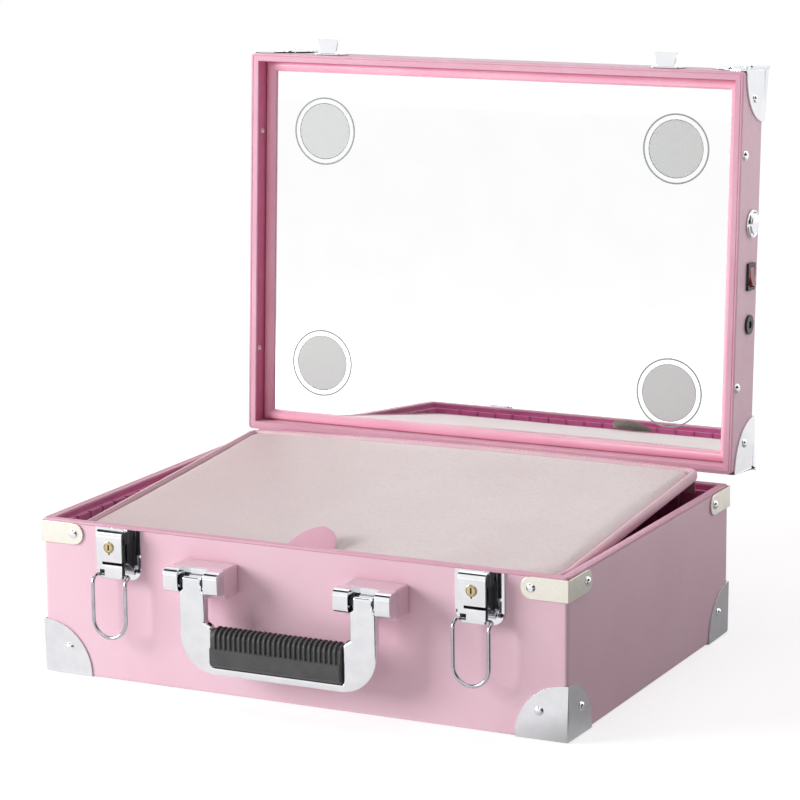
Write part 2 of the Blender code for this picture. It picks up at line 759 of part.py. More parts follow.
def handle_bail():
    """Both arms and the bar under the grip, one casting."""
    y, top = handle_axis()
    bottom, corner = top - HANDLE_LENGTH, HANDLE_CORNER
    outer, inner = ARM_X + ARM_WIDTH / 2, ARM_X - ARM_WIDTH / 2
    end, bar_top = grip_half_length() + GAP, bottom + BAR_HEIGHT
    grip_top = bar_top + GRIP_HEIGHT
    right = [(top, outer)] + arc((bottom + corner, outer - corner), corner, 90, 180, 6)
    inside = [(bar_top, end), (grip_top - SHOULDER_LOW, end)]
    inside += [(grip_top + SHOULDER_HIGH, inner), (top, inner)]
    left = [(z, -x) for z, x in right[::-1]]
    outline = right + left + [(z, -x) for z, x in inside[::-1]] + inside
    bail = prism(outline, "y", y - ARM_THICKNESS / 2, y + ARM_THICKNESS / 2)
    half = ARM_WIDTH / 2
    for x in (-ARM_X, ARM_X):
        bail = union(bail, rod("x", (y, top), HANDLE_HUB, x - half, x + half, 20))
        bore = rod("x", (y, top), PIN_RADIUS + PIN_CLEARANCE, x - half - PAST, x + half + PAST, 12)
        bail = cut(bail, bore)
    return bail


def handle_grip():
    middle = (handle_axis()[0], grip_low() + GRIP_HEIGHT / 2)
    section = rounded(GRIP_THICKNESS / 2, GRIP_HEIGHT / 2, GRIP_CORNER, 4, middle)
    return prism(section, "x", -grip_half_length(), grip_half_length())


def handle(colours):
    for side, x in (("left", -ARM_X), ("right", ARM_X)):
        add(f"handle_mount_{side}", handle_mount(x), colours["vinyl"])
        add(f"handle_clevis_{side}", handle_clevis(x), colours["chrome"])
    pivot = pivot_at("handle_axis", (0, *handle_axis()))
    add("handle_bail", handle_bail(), colours["chrome"], pivot)
    add("handle_grip", handle_grip(), colours["rubber"], pivot)


# Flap


def flap_line(y):
    """Height of the flap's top at a place between its front and back edges."""
    share = (y - flap_front()) / (flap_back() - flap_front())
    low, high = BASE_HEIGHT - FLAP_FRONT_DROP, BASE_HEIGHT + FLAP_REAR_RISE
    return low + share * (high - low)


def flap_front():
    return FLAP_FRONT_CLEARANCE - LINER_Y


def flap_back():
    return INNER_Y - BEAD_WIDTH - FLAP_BACK_CLEARANCE


def flap(colours):
    front, back = flap_front(), flap_back()
    half = LINER_X - FLAP_SIDE_CLEARANCE
    outline = [(half, back), (-half, back)]
    outline += arc((FLAP_CORNER - half, front + FLAP_CORNER), FLAP_CORNER, 180, 270, 8)
    outline += arc((half - FLAP_CORNER, front + FLAP_CORNER), FLAP_CORNER, 270, 360, 8)
    panel = prism(outline, "z", -FLAP_THICKNESS, 0)
    for vertex in panel.vertices:
        vertex.co.z += flap_line(vertex.co.y)
    axis = (0, back, flap_line(back) - FLAP_THICKNESS / 2)
    pivot = pivot_at("flap_axis", axis)
    add("flap", panel, colours["flap"], pivot)

    half_ellipse = [(TAB_WIDTH / 2 * a, TAB_LENGTH * b) for a, b in arc((0, 0), 1, 0, 180, 12)]
    tab = prism(half_ellipse, "z", 0, TAB_THICKNESS)
    tab.transform(Matrix.Rotation(radians(TAB_ANGLE), 4, "X"))
    root = front + TAB_INSET
    add("pull_tab", moved(tab, (0, root, flap_line(root) + GAP)), colours["edging"], pivot)


# Lid


def light_places():
    places = []
    for sx in (-1, 1):
        x = sx * (HALF_W - LIGHT_INSET_X)
        places.append((corner_name(sx, -1), x, LIGHT_INSET_FRONT - HALF_D))
        places.append((corner_name(sx, 1), x, HALF_D - LIGHT_INSET_BACK))
    return places


def lid_shell():
    outer = rounded(HALF_W, HALF_D, EDGE_RADIUS)
    shell = prism(outer, "z", LID_RIM + RIM_THICKNESS + GAP, LID_TOP)
    shell = cut(shell, box((-INNER_X, -INNER_Y, 0), (INNER_X, INNER_Y, CAVITY_TOP)))
    inside, outside = INNER_X - PAST, HALF_W + PAST
    holes = [
        rod("x", (DIMMER_Y, CONTROL_Z), DIMMER_BODY_RADIUS + GAP, inside, outside, 20),
        rod("x", (JACK_Y, CONTROL_Z), JACK_BODY_RADIUS + GAP, inside, outside, 20),
        switch_block(SWITCH_STEP - GAP, inside, outside),
    ]
    return cut(shell, *holes)


def bead():
    """The padded moulding round the mirror: half-round in section, mitred at its corners."""
    back = MIRROR_FACE - GAP
    crown = BEAD_HEIGHT - BEAD_EDGE
    profile = [(0, back)]
    for a, b in arc((1, 0), 1, 180, 0, 6):
        profile.append((a * BEAD_WIDTH / 2, back - BEAD_EDGE - b * crown))
    profile.append((BEAD_WIDTH, back))
    points = []
    for sx, sy in ((1, 1), (-1, 1), (-1, -1), (1, -1)):
        for inset, z in profile:
            points.append((sx * (INNER_X - GAP - inset), sy * (INNER_Y - GAP - inset), z))
    return ringed(points, 4, len(profile))


def light(name, x, y, colours, lid):
    """A frosted disc level with the mirror, and the board of lamps behind it."""
    disc = rod("z", (x, y), LIGHT_RADIUS, MIRROR_FACE, GLASS_BACK, 32)
    add(f"light_diffuser_{name}", disc, colours["frosted"], lid)
    low = BACKING_BACK + GAP
    board = rod("z", (x, y), BOARD_RADIUS, low, low + BOARD_THICKNESS, 24)
    add(f"led_board_{name}", board, colours["circuit"], lid)


def mirror_stack(colours, lid):
    half_x, half_y = INNER_X - GLASS_CLEARANCE, INNER_Y - GLASS_CLEARANCE
    glass = box((-half_x, -half_y, MIRROR_FACE), (half_x, half_y, GLASS_BACK))
    backing = box((-half_x, -half_y, GLASS_BACK + GAP), (half_x, half_y, BACKING_BACK))
    notch_x = INNER_X - CONTROL_DEPTH - NOTCH_MARGIN
    notch_low = DIMMER_Y - DIMMER_BODY_RADIUS - NOTCH_MARGIN
    notch_high = JACK_Y + JACK_BODY_RADIUS + NOTCH_MARGIN
    backing = cut(backing, box((notch_x, notch_low, 0), (HALF_W, notch_high, LID_TOP)))
    for name, x, y in light_places():
        glass = cut(glass, rod("z", (x, y), LIGHT_RADIUS + GAP, 0, LID_TOP, 32))
        backing = cut(backing, rod("z", (x, y), LIGHT_RADIUS - LIGHT_LIP, 0, LID_TOP, 32))
        light(name, x, y, colours, lid)
    add("mirror_glass", glass, colours["mirror"], lid)
    add("mirror_backing", backing, colours["board"], lid)
    add("mirror_frame", bead(), colours["satin"], lid)
    half_x, half_y = DRIVER_LENGTH / 2, DRIVER_WIDTH / 2
    low, high = BACKING_BACK + GAP, CAVITY_TOP - DRIVER_CLEARANCE
    driver = box((DRIVER_X - half_x, -half_y, low), (DRIVER_X + half_x, half_y, high))
    add("led_driver", driver, colours["black"], lid)


# Controls. Outlines are in (y, z) along x, outwards through the lid's right wall.


def switch_block(step, start, end):
    """A block with the switch's outline, this much smaller all round."""
    half_y, half_z = SWITCH_LENGTH / 2 - step, SWITCH_WIDTH / 2 - step
    return prism(rounded(half_y, half_z, SWITCH_CORNER, 2, (SWITCH_Y, CONTROL_Z)), "x", start, end)


def dimmer(colours, lid, face, inside):
    """A metal bezel with its body behind the wall, and the knob on its shaft."""
    centre = (DIMMER_Y, CONTROL_Z)
    housing = rod("x", centre, DIMMER_BEZEL_RADIUS, face, face + DIMMER_BEZEL, 32)
    housing = union(housing, rod("x", centre, DIMMER_BODY_RADIUS, inside, face + CONTROL_SEAT, 20))
    housing = cut(housing, rod("x", centre, SHAFT_RADIUS + GAP, face - SHAFT_BORE_DEPTH, face + PAST))
    add("dimmer_housing", housing, colours["chrome"], lid)
    low = face + DIMMER_BEZEL + GAP
    knob = rod("x", centre, KNOB_RADIUS, low, low + KNOB_HEIGHT, 28)
    knob = union(knob, rod("x", centre, SHAFT_RADIUS, face - SHAFT_DEPTH, low + CONTROL_SEAT))
    add("dimmer_knob", knob, colours["chrome"], pivot_at("dimmer_axis", (HALF_W, *centre), lid))


def rocker():
    """The rocker, turned to its switched-off side, with its axis at the origin along z."""
    radius, end = ROCKER_LENGTH / 2, radians(ROCKER_END)
    end_x, end_y = radius * cos(end), radius * sin(end) - ROCKER_SET_IN + ROCKER_RISE
    outline = arc((0, -ROCKER_SET_IN), radius, 200, 340, 10)
    outline += [(end_x, end_y), (0, ROCKER_RISE), (-end_x, end_y)]
    piece = prism(outline, "z", -ROCKER_WIDTH / 2, ROCKER_WIDTH / 2)
    piece.transform(Matrix.Translation((0, ROCKER_SET_IN, 0)))
    piece.transform(Matrix.Rotation(radians(-90 - ROCKER_TILT), 4, "Z"))
    return piece


def switch(colours, lid, face, inside):
    housing = switch_block(0, face, face + SWITCH_BEZEL)
    housing = union(housing, switch_block(SWITCH_STEP, inside, face + CONTROL_SEAT))
    half_y, half_z = ROCKER_LENGTH / 2 + POCKET_CLEARANCE, ROCKER_WIDTH / 2 + GAP
    low = (face - SWITCH_POCKET, SWITCH_Y - half_y, CONTROL_Z - half_z)
    housing = cut(housing, box(low, (face + PAST, SWITCH_Y + half_y, CONTROL_Z + half_z)))
    add("switch_housing", housing, colours["black"], lid)
    axis = (face - ROCKER_SET_IN + ROCKER_PROUD, SWITCH_Y, CONTROL_Z)
    add("switch_rocker", moved(rocker(), axis), colours["red"], pivot_at("switch_axis", axis, lid))


def jack(colours, lid, face, inside):
    centre = (JACK_Y, CONTROL_Z)
    socket = rod("x", centre, JACK_RADIUS, face, face + JACK_BEZEL, 28)
    socket = union(socket, rod("x", centre, JACK_BODY_RADIUS, inside, face + CONTROL_SEAT, 20))
    socket = cut(socket, rod("x", centre, JACK_BORE, face - JACK_BORE_DEPTH, face + PAST))
    pin_start, pin_end = face - JACK_BORE_DEPTH - CONTROL_SEAT, face - CONTROL_SEAT
    add("dc_jack", union(socket, rod("x", centre, JACK_PIN, pin_start, pin_end, 10)), colours["black"], lid)


def controls(colours, lid):
    face, inside = HALF_W + GAP, INNER_X - CONTROL_DEPTH
    dimmer(colours, lid, face, inside)
    switch(colours, lid, face, inside)
    jack(colours, lid, face, inside)


def main():
    for item in list(bpy.data.objects):
        bpy.data.objects.remove(item)
    colours = palette()
    add("base_shell", base_shell(), colours["vinyl"])
    add("base_rim", rim(RIM_BOTTOM, BASE_HEIGHT), colours["edging"])
    sheet = box((GAP - INNER_X, GAP - INNER_Y, PANEL + GAP), (INNER_X - GAP, INNER_Y - GAP, FLOOR_TOP))
    add("floor_liner", sheet, colours["liner"])
    add("slotted_liner", slotted_liner(), colours["liner"])
    dividers(colours)
    lid = pivot_at("lid_axis", HINGE, turned=-OPEN_ANGLE)
    add("lid_shell", lid_shell(), colours["vinyl"], lid)
    add("lid_rim", rim(LID_RIM, LID_RIM + RIM_THICKNESS), colours["edging"], lid)
    protectors(colours, lid)
    brackets(colours)
    hinge_pair(colours, lid)
    latches(colours, lid)
    handle(colours)
    flap(colours)
    mirror_stack(colours, lid)
    controls(colours, lid)


main()
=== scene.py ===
"""The looks of a makeup train case with a lighted mirror in its lid, standing open.

Metres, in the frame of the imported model: +Z up, and the front, with the handle and the latches,
towards -Y. Pieces of the lid are drawn as if the lid were shut, and OPEN turns them with it.
"""

import json
from math import cos, pi, radians, sin

import bmesh
import bpy
from mathutils import Matrix, Vector


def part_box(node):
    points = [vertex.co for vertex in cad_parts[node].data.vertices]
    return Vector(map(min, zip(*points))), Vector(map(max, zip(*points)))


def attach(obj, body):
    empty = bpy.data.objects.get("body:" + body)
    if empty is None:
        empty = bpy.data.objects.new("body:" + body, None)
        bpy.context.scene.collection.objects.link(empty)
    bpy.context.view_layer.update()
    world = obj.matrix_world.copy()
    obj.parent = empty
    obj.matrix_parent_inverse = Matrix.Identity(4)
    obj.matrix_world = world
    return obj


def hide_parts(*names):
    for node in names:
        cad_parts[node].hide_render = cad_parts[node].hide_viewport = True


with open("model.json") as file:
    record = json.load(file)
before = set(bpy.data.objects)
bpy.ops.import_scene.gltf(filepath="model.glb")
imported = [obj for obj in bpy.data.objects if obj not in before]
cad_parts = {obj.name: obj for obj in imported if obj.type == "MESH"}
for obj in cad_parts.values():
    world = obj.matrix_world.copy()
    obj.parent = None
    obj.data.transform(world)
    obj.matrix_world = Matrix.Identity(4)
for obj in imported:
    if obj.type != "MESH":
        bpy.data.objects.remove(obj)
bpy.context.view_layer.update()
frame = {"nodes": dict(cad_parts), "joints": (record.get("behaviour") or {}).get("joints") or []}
scene = bpy.context.scene

# Sizes that the model doesn't say directly
GAP = 0.0003  # between touching pieces
PANEL = 0.005  # thickness of the lid's outer panel
EDGE_RADIUS = 0.003  # of the covered boards
CAP_SHEET = 0.0009
CAP_MARGIN = 0.002
SAME = 1e-5  # places closer than this are one place
SIDES = (("left", -1), ("right", 1))
CORNERS = [(f"{row}_{side}", sx, sy) for row, sy in (("front", -1), ("back", 1)) for side, sx in SIDES]


# Places


def joint(name):
    return next(row for row in frame["joints"] if row["name"] == name)


LID_ANGLE = radians(joint("lid_hinge")["range_deg"][1])
TO_HINGE = Matrix.Translation(joint("lid_hinge")["pos_m"])
OPEN = TO_HINGE @ Matrix.Rotation(-LID_ANGLE, 4, "X") @ TO_HINGE.inverted()
SHUT = OPEN.inverted()


def shut_box(name):
    """Lowest and highest corners of a node of the lid, as if the lid were shut."""
    points = [SHUT @ vertex.co for vertex in frame["nodes"][name].data.vertices]
    return tuple(Vector([pick(point[i] for point in points) for i in range(3)]) for pick in (min, max))


def middle_of(box):
    return (box[0] + box[1]) / 2


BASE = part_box("base_shell")
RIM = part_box("base_rim")
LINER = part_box("slotted_liner")
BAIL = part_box("handle_bail")
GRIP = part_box("handle_grip")
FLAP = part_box("flap")
LID = shut_box("lid_shell")
LID_RIM = shut_box("lid_rim")
MIRROR = shut_box("mirror_glass")


# Colours and nodes


def linear(code):
    """A linear colour from an sRGB hex code."""
    shares = [int(code[i : i + 2], 16) / 255 for i in (1, 3, 5)]
    return (*[s / 12.92 if s <= 0.04045 else ((s + 0.055) / 1.055) ** 2.4 for s in shares], 1)


def node(tree, kind, inputs=(), output=0, **settings):
    """Adds a node with its settings and inputs, and gives one of its outputs, or all of them for None.

    Each input goes by its name or number, and is a value, a hex code or another node's output.
    """
    made = tree.nodes.new(kind)
    for name, value in settings.items():
        setattr(made, name, value)
    for socket, value in dict(inputs).items():
        if isinstance(value, bpy.types.NodeSocket):
            tree.links.new(value, made.inputs[socket])
        else:
            is_code = isinstance(value, str) and value.startswith("#")
            made.inputs[socket].default_value = linear(value) if is_code else value
    return made.outputs if output is None else made.outputs[output]


GRAIN = {"Detail": 3.0, "Roughness": 0.55}  # of every noise that doesn't say otherwise


def material(name, tilted=False, **sockets):
    """A material with its shader's own sockets set: itself, its tree, its shader and the place on the piece.

    On the lid, patterns with a direction are tilted to line up with the open lid's faces.
    """
    made = bpy.data.materials.new(name)
    made.use_nodes = True
    tree = made.node_tree
    shader = tree.nodes["Principled BSDF"]
    for socket, value in sockets.items():
        shader.inputs[socket.replace("_", " ")].default_value = value
    place = node(tree, "ShaderNodeTexCoord", output="Object")
    if tilted:
        place = node(tree, "ShaderNodeMapping", {"Vector": place, "Rotation": (LID_ANGLE, 0, 0)})
    return made, tree, shader, place


def shaded(tree, pattern, first, second, start=0.3, end=0.7, most=1.0):
    """The first shade, passing softly into the second, or most of it, as the pattern goes from start to end."""
    span = {"Value": pattern, "From Min": start, "From Max": end, "To Max": most}
    share = node(tree, "ShaderNodeMapRange", span, interpolation_type="SMOOTHSTEP")
    return node(tree, "ShaderNodeMix", {0: share, 6: first, 7: second}, 2, data_type="RGBA")


def mottled(tree, place, size, first, second):
    """Two shades in soft clouds of this size."""
    clouds = node(tree, "ShaderNodeTexNoise", {"Vector": place, "Scale": 1 / size, **GRAIN}, "Fac")
    return shaded(tree, clouds, first, second)


def woven(tree, place, axes, pitch, distortion):
    """Threads a pitch apart, crossing: the sum of one set across each axis."""
    inputs = {"Vector": place, "Scale": pi / (10 * pitch), "Distortion": distortion}
    inputs.update({"Detail": 1.0, "Detail Scale": 0.6})
    total = 0.0
    for axis in axes:
        threads = node(tree, "ShaderNodeTexWave", inputs, "Fac", bands_direction=axis)
        total = node(tree, "ShaderNodeMath", {0: threads, 1: total}, operation="ADD")
    return total


def surfaced(tree, shader, tone, height=None, depth=0.0, grain=None, rough=(), start=0.3, end=0.7):
    """Gives a shader its tone, a height raised to a depth, and a roughness that follows a grain."""
    tree.links.new(tone, shader.inputs["Base Color"])
    if depth:
        raised = node(tree, "ShaderNodeBump", {"Height": height, "Distance": depth, "Strength": 1.0})
        tree.links.new(raised, shader.inputs["Normal"])
    if rough:
        span = {"Value": grain, "From Min": start, "From Max": end, "To Min": rough[0], "To Max": rough[1]}
        uneven = node(tree, "ShaderNodeMapRange", span, interpolation_type="SMOOTHSTEP")
        tree.links.new(uneven, shader.inputs["Roughness"])


# Materials


def linen_vinyl(name, tilted=False):
    """PVC sheet, embossed as linen, glued over board: a soft sheen over crossed threads."""
    thread = 0.0010  # the real 0.5 mm threads are too fine to show
    slub = 0.004
    made, tree, shader, place = material(name, tilted, IOR=1.46, Sheen_Weight=0.05, Sheen_Roughness=0.4)
    threads = woven(tree, place, "XYZ", thread, 2.0)
    slubs = node(tree, "ShaderNodeTexNoise", {"Vector": place, "Scale": 1 / slub, **GRAIN, "Detail": 2.0}, "Fac")
    tone = mottled(tree, place, 0.09, "#EBCDD8", "#E7C4D0")
    tone = shaded(tree, threads, tone, "#DCAABD", 2.6, 0.6, 0.40)
    height = node(tree, "ShaderNodeMath", {0: slubs, 1: 0.8, 2: threads}, operation="MULTIPLY_ADD")
    surfaced(tree, shader, tone, height, 0.00003, slubs, (0.42, 0.54))
    return made


def satin_moulding():
    """Satin-faced foam moulding round the mirror: bright, with a silky run along its length."""
    thread = 0.0011  # the real threads, near 0.2 mm, are too fine to show
    sockets = {"IOR": 1.5, "Sheen_Weight": 0.4, "Sheen_Roughness": 0.3, "Coat_Weight": 0.15}
    made, tree, shader, place = material("satin_moulding", True, **sockets)
    weave = woven(tree, place, "XY", thread, 1.0)
    tone = mottled(tree, place, 0.06, "#F7BCCF", "#F2AFC6")
    surfaced(tree, shader, tone, weave, 0.00002, weave, (0.30, 0.42))
    return made


def flock(name, light, dark, tilted=False):
    """Flocked foam and board: matt, with a velvet bloom at grazing angles."""
    tuft, wear = 0.0007, 0.02
    sockets = {"Roughness": 0.9, "IOR": 1.4, "Sheen_Weight": 0.6, "Sheen_Roughness": 0.5}
    made, tree, shader, place = material(name, tilted, **sockets)
    pile = node(tree, "ShaderNodeTexNoise", {"Vector": place, "Scale": 1 / tuft, **GRAIN, "Detail": 4.0}, "Fac")
    worn = node(tree, "ShaderNodeTexNoise", {"Vector": place, "Scale": 1 / wear, **GRAIN}, "Fac")
    half = node(tree, "ShaderNodeMath", {0: worn, 1: 0.5}, operation="MULTIPLY")
    patches = node(tree, "ShaderNodeMath", {0: pile, 1: 0.5, 2: half}, operation="MULTIPLY_ADD")
    surfaced(tree, shader, shaded(tree, patches, light, dark), pile, 0.00012)
    return made


def leatherette():
    """Greige leatherette over foam: fine pebbled grain with a soft, dry sheen."""
    pebble, pore, cloud = 0.0024, 0.0009, 0.07
    made, tree, shader, place = material("flap_leatherette", IOR=1.5, Sheen_Weight=0.25, Sheen_Roughness=0.35)
    cells = {"Vector": place, "Scale": 1 / pebble, "Randomness": 1.0}
    pebbles = node(tree, "ShaderNodeTexVoronoi", cells, "Distance", feature="SMOOTH_F1")
    pores = node(tree, "ShaderNodeTexNoise", {"Vector": place, "Scale": 1 / pore, **GRAIN}, "Fac")
    clouds = node(tree, "ShaderNodeTexNoise", {"Vector": place, "Scale": 1 / cloud, **GRAIN, "Detail": 4.0}, "Fac")
    # Painted light: a rosy tint towards the flap's left, standing for pink light thrown back onto it
    side = node(tree, "ShaderNodeSeparateXYZ", {0: place}, "X")
    tone = shaded(tree, clouds, "#E1D5D4", "#DCCECE")
    tone = shaded(tree, side, tone, "#D9BFC0", 0.02, -0.22, 0.75)
    tone = shaded(tree, pebbles, tone, "#CBB9B9", 0.2, 0.8, 0.30)
    fine = node(tree, "ShaderNodeMath", {0: pores, 1: 0.3}, operation="MULTIPLY")
    height = node(tree, "ShaderNodeMath", {0: fine, 1: pebbles}, operation="SUBTRACT")
    surfaced(tree, shader, tone, height, 0.00010, pores, (0.45, 0.62))
    return made


def even(name, light, dark, cloud, pore, rough, depth, **sockets):
    """One material all through, as a sheet or a moulding: two close shades in clouds, under a fine grain."""
    made, tree, shader, place = material(name, **sockets)
    grain = node(tree, "ShaderNodeTexNoise", {"Vector": place, "Scale": 1 / pore, **GRAIN}, "Fac")
    surfaced(tree, shader, mottled(tree, place, cloud, light, dark), grain, depth, grain, rough)
    return made


def plated(name, light, dark, rough, ripple):
    """Polished or brushed plating on pressed steel: clear reflections, broken by faint wipe marks."""
    wipe, depth = 0.012, 0.00001
    made, tree, shader, place = material(name, Metallic=1.0)
    marks = node(tree, "ShaderNodeTexNoise", {"Vector": place, "Scale": 1 / wipe, **GRAIN, "Detail": 5.0}, "Fac")
    peel = node(tree, "ShaderNodeTexNoise", {"Vector": place, "Scale": 1 / ripple, **GRAIN, "Detail": 2.0}, "Fac")
    surfaced(tree, shader, shaded(tree, marks, light, dark), peel, depth, marks, rough)
    return made


def silvered_glass():
    """Float glass, silvered behind: a clean mirror with a trace of dust."""
    made, tree, shader, place = material("silvered_glass", Metallic=1.0)
    dust = node(tree, "ShaderNodeTexNoise", {"Vector": place, "Scale": 1 / 0.03, **GRAIN, "Detail": 6.0}, "Fac")
    tone = shaded(tree, dust, "#FDFEFE", "#FAFCFB")
    surfaced(tree, shader, tone, grain=dust, rough=(0.0, 0.012), start=0.55, end=0.8)
    return made


def sandblasted(name, light, dark):
    """Sand-blasted glass: an even, matt grey with a fine sparkle."""
    made, tree, shader, place = material(name, IOR=1.5, Specular_IOR_Level=0.4)
    grit = node(tree, "ShaderNodeTexNoise", {"Vector": place, "Scale": 1 / 0.0005, **GRAIN, "Detail": 2.0}, "Fac")
    surfaced(tree, shader, shaded(tree, grit, light, dark), grit, 0.00004, grit, (0.5, 0.7))
    return made


def pressed_board():
    """Hardboard: brown wood fibre, smooth but dull."""
    made, tree, shader, place = material("pressed_board", True, Roughness=0.8)
    lengthwise = node(tree, "ShaderNodeMapping", {"Vector": place, "Scale": (1, 4, 4)})
    inputs = {"Vector": lengthwise, "Scale": 1 / 0.004, **GRAIN, "Detail": 6.0}
    fibres = node(tree, "ShaderNodeTexNoise", inputs, "Fac")
    surfaced(tree, shader, shaded(tree, fibres, "#8A6A4C", "#5E4532"), fibres, 0.0001)
    return made


# Spark-eroded grain of moulded plastic and rubber: its clouds and its pores
MOULD = (0.01, 0.0006)

# Each finish by the name that pieces ask for
FINISHES = {
    "case_vinyl": linen_vinyl("embossed_linen_vinyl"),
    "lid_vinyl": linen_vinyl("embossed_linen_vinyl_lid", True),
    # Smooth PVC strip over the rims: even, with a low gloss
    "edging": even("edging_vinyl", "#E0AEC0", "#DAA3B7", 0.05, 0.0012, (0.48, 0.60), 0.00003, IOR=1.46),
    "satin": satin_moulding(),
    "liner": flock("flocked_foam_magenta", "#E070A8", "#C75C96"),
    "lid_lining": flock("flocked_lining_rose", "#DB6597", "#CB5788", True),
    "flap": leatherette(),
    "chrome": plated("polished_chrome", "#F0F1F4", "#E8EAED", (0.04, 0.09), 0.03),
    "wire": plated("drawn_wire_chrome", "#C2C5C9", "#AEB1B6", (0.07, 0.12), 0.02),
    "nickel": plated("satin_nickel", "#EDEAE0", "#E6E2D7", (0.26, 0.32), 0.01),
    "brass": plated("turned_brass", "#D6C7A0", "#BFAE82", (0.18, 0.28), 0.003),
    "mirror": silvered_glass(),
    "frosted": sandblasted("sandblasted_glass", "#CDD2D0", "#C5CBC9"),
    "etched": sandblasted("etched_line", "#9AA29F", "#8F9894"),
    # Injection-moulded plastics: a grain that breaks the gloss a little
    "black": even("black_abs", "#161617", "#0E0E0F", *MOULD, (0.32, 0.47), 0.00003, IOR=1.53),
    "red": even("red_polycarbonate", "#A3222B", "#8C1620", *MOULD, (0.12, 0.27), 0.00001, IOR=1.58, Coat_Weight=0.3),
    # Moulded rubber: duller and softer
    "rubber": even("black_rubber", "#454546", "#3B3B3C", *MOULD, (0.40, 0.55), 0.00004, IOR=1.5),
    # Oiled black steel for pins and screws, and painted shade: the same black stands for the unlit inside of the
    # pressings. Nearly no reflection
    "black_steel_and_painted_shade": even("oiled_black_steel_and_painted_shade", "#141416", "#0B0B0C", *MOULD, (0.45, 0.60), 0.00003, IOR=1.4),
    # Thin leatherette, folded over the pad's edge: rosier where the foam shows through
    "binding": even(
        "folded_leatherette", "#EAC9D1", "#E2BEC8", 0.03, 0.0011, (0.45, 0.58), 0.00006, IOR=1.48, Sheen_Weight=0.2
    ),
    "felt": flock("grey_green_felt", "#A3A493", "#8F9080"),
    "board": pressed_board(),
    # Lacquer over a circuit board: a hard, even white
    "circuit": even("white_solder_mask", "#E9E9E2", "#DCDCD4", *MOULD, (0.35, 0.50), 0.00003, IOR=1.5),
}


# Making pieces


def piece(name, mesh, body, finishes, replaces=(), lid=False):
    """A finished piece: a mesh in place, riding on a body, with the finishes its faces number."""
    if lid:
        mesh.transform(OPEN)
    for key in finishes:
        mesh.materials.append(FINISHES[key])
    made = bpy.data.objects.new(name, mesh)
    scene.collection.objects.link(made)
    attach(made, body)
    if replaces:
        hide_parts(*replaces)
    return made


def as_seen(work):
    """The mesh of an object as its modifiers leave it. The object goes."""
    graph = bpy.context.evaluated_depsgraph_get()
    result = bpy.data.meshes.new_from_object(work.evaluated_get(graph))
    bpy.data.objects.remove(work)
    return result


def applied(mesh, *modifiers):
    """The mesh as the modifiers leave it, each given by its type and its settings."""
    work = bpy.data.objects.new("work", mesh)
    scene.collection.objects.link(work)
    for kind, settings in modifiers:
        modifier = work.modifiers.new(kind.lower(), kind)
        for name, value in settings.items():
            setattr(modifier, name, value)
    return as_seen(work)


def rounding(width, segments=3, angle=35):
    """A Bevel on the edges sharper than the angle."""
    return "BEVEL", {"width": width, "segments": segments, "limit_method": "ANGLE", "angle_limit": radians(angle)}


def smooth(mesh, angle=50):
    """Rounded faces shade as round, and flat ones stay flat up to their edges."""
    mesh.shade_smooth()
    mesh.set_sharp_from_angle(angle=radians(angle))
    return applied(mesh, ("WEIGHTED_NORMAL", {"keep_sharp": True, "weight": 100}))


def settled(work, name="shape"):
    """The mesh of a finished bmesh."""
    mesh = bpy.data.meshes.new(name)
    work.to_mesh(mesh)
    work.free()
    return mesh


def mesh_of(points, faces):
    """A mesh from points and faces, closed and turned outwards."""
    work = bmesh.new()
    corners = [work.verts.new(point) for point in points]
    for face in faces:
        work.faces.new([corners[i] for i in face])
    bmesh.ops.remove_doubles(work, verts=work.verts, dist=1e-6)
    bmesh.ops.dissolve_degenerate(work, edges=work.edges, dist=1e-7)
    bmesh.ops.recalc_face_normals(work, faces=work.faces)
    return settled(work)


def merged(name):
    """A node's mesh, copied, with its triangles joined into whole faces."""
    work = bmesh.new()
    work.from_mesh(frame["nodes"][name].data)
    bmesh.ops.remove_doubles(work, verts=work.verts, dist=SAME)
    bmesh.ops.dissolve_limit(work, angle_limit=radians(0.5), verts=work.verts, edges=work.edges)
    return settled(work, name)


def within(point, box):
    return all(box[0][i] - SAME < point[i] < box[1][i] + SAME for i in range(3))


def refined(name, body, key, width, segments=3, pockets=(), dark=()):
    """A node's shape with its edges rounded, as pressing, casting or moulding leaves them, with pockets carved, and
    painted shade: black on the faces in the pockets and in the dark boxes.
    """
    mesh = applied(merged(name), rounding(width, segments))
    mesh = carved(mesh, *[block(*pocket) for pocket in pockets])
    # Painted shade: faces in the pockets and in the dark boxes take the second, black finish
    for face in mesh.polygons:
        if any(within(face.center, box) for box in (*pockets, *dark)):
            face.material_index = 1
    return piece(f"{name}_finished", smooth(mesh), body, [key, "black_steel_and_painted_shade"] if pockets or dark else [key], [name])


def block(low, high, radius=0.0, keep=None):
    """A box, with all of its edges rounded but those that keep() says to leave."""
    work = bmesh.new()
    bmesh.ops.create_cube(work, size=1)
    size, centre = Vector(high) - Vector(low), (Vector(high) + Vector(low)) / 2
    for vertex in work.verts:
        vertex.co = centre + vertex.co * size
    if radius:
        edges = [edge for edge in work.edges if not keep((edge.verts[0].co + edge.verts[1].co) / 2)]
        bmesh.ops.bevel(work, geom=edges, offset=radius, segments=4, profile=0.5, affect="EDGES")
    return settled(work)


def carved(mesh, *cutters):
    """The mesh with each cutter's shape taken out of it."""
    for cutter in cutters:
        tool = bpy.data.objects.new("cutter", cutter)
        scene.collection.objects.link(tool)
        mesh = applied(mesh, ("BOOLEAN", {"object": tool, "operation": "DIFFERENCE", "solver": "EXACT"}))
        bpy.data.objects.remove(tool)
    return mesh


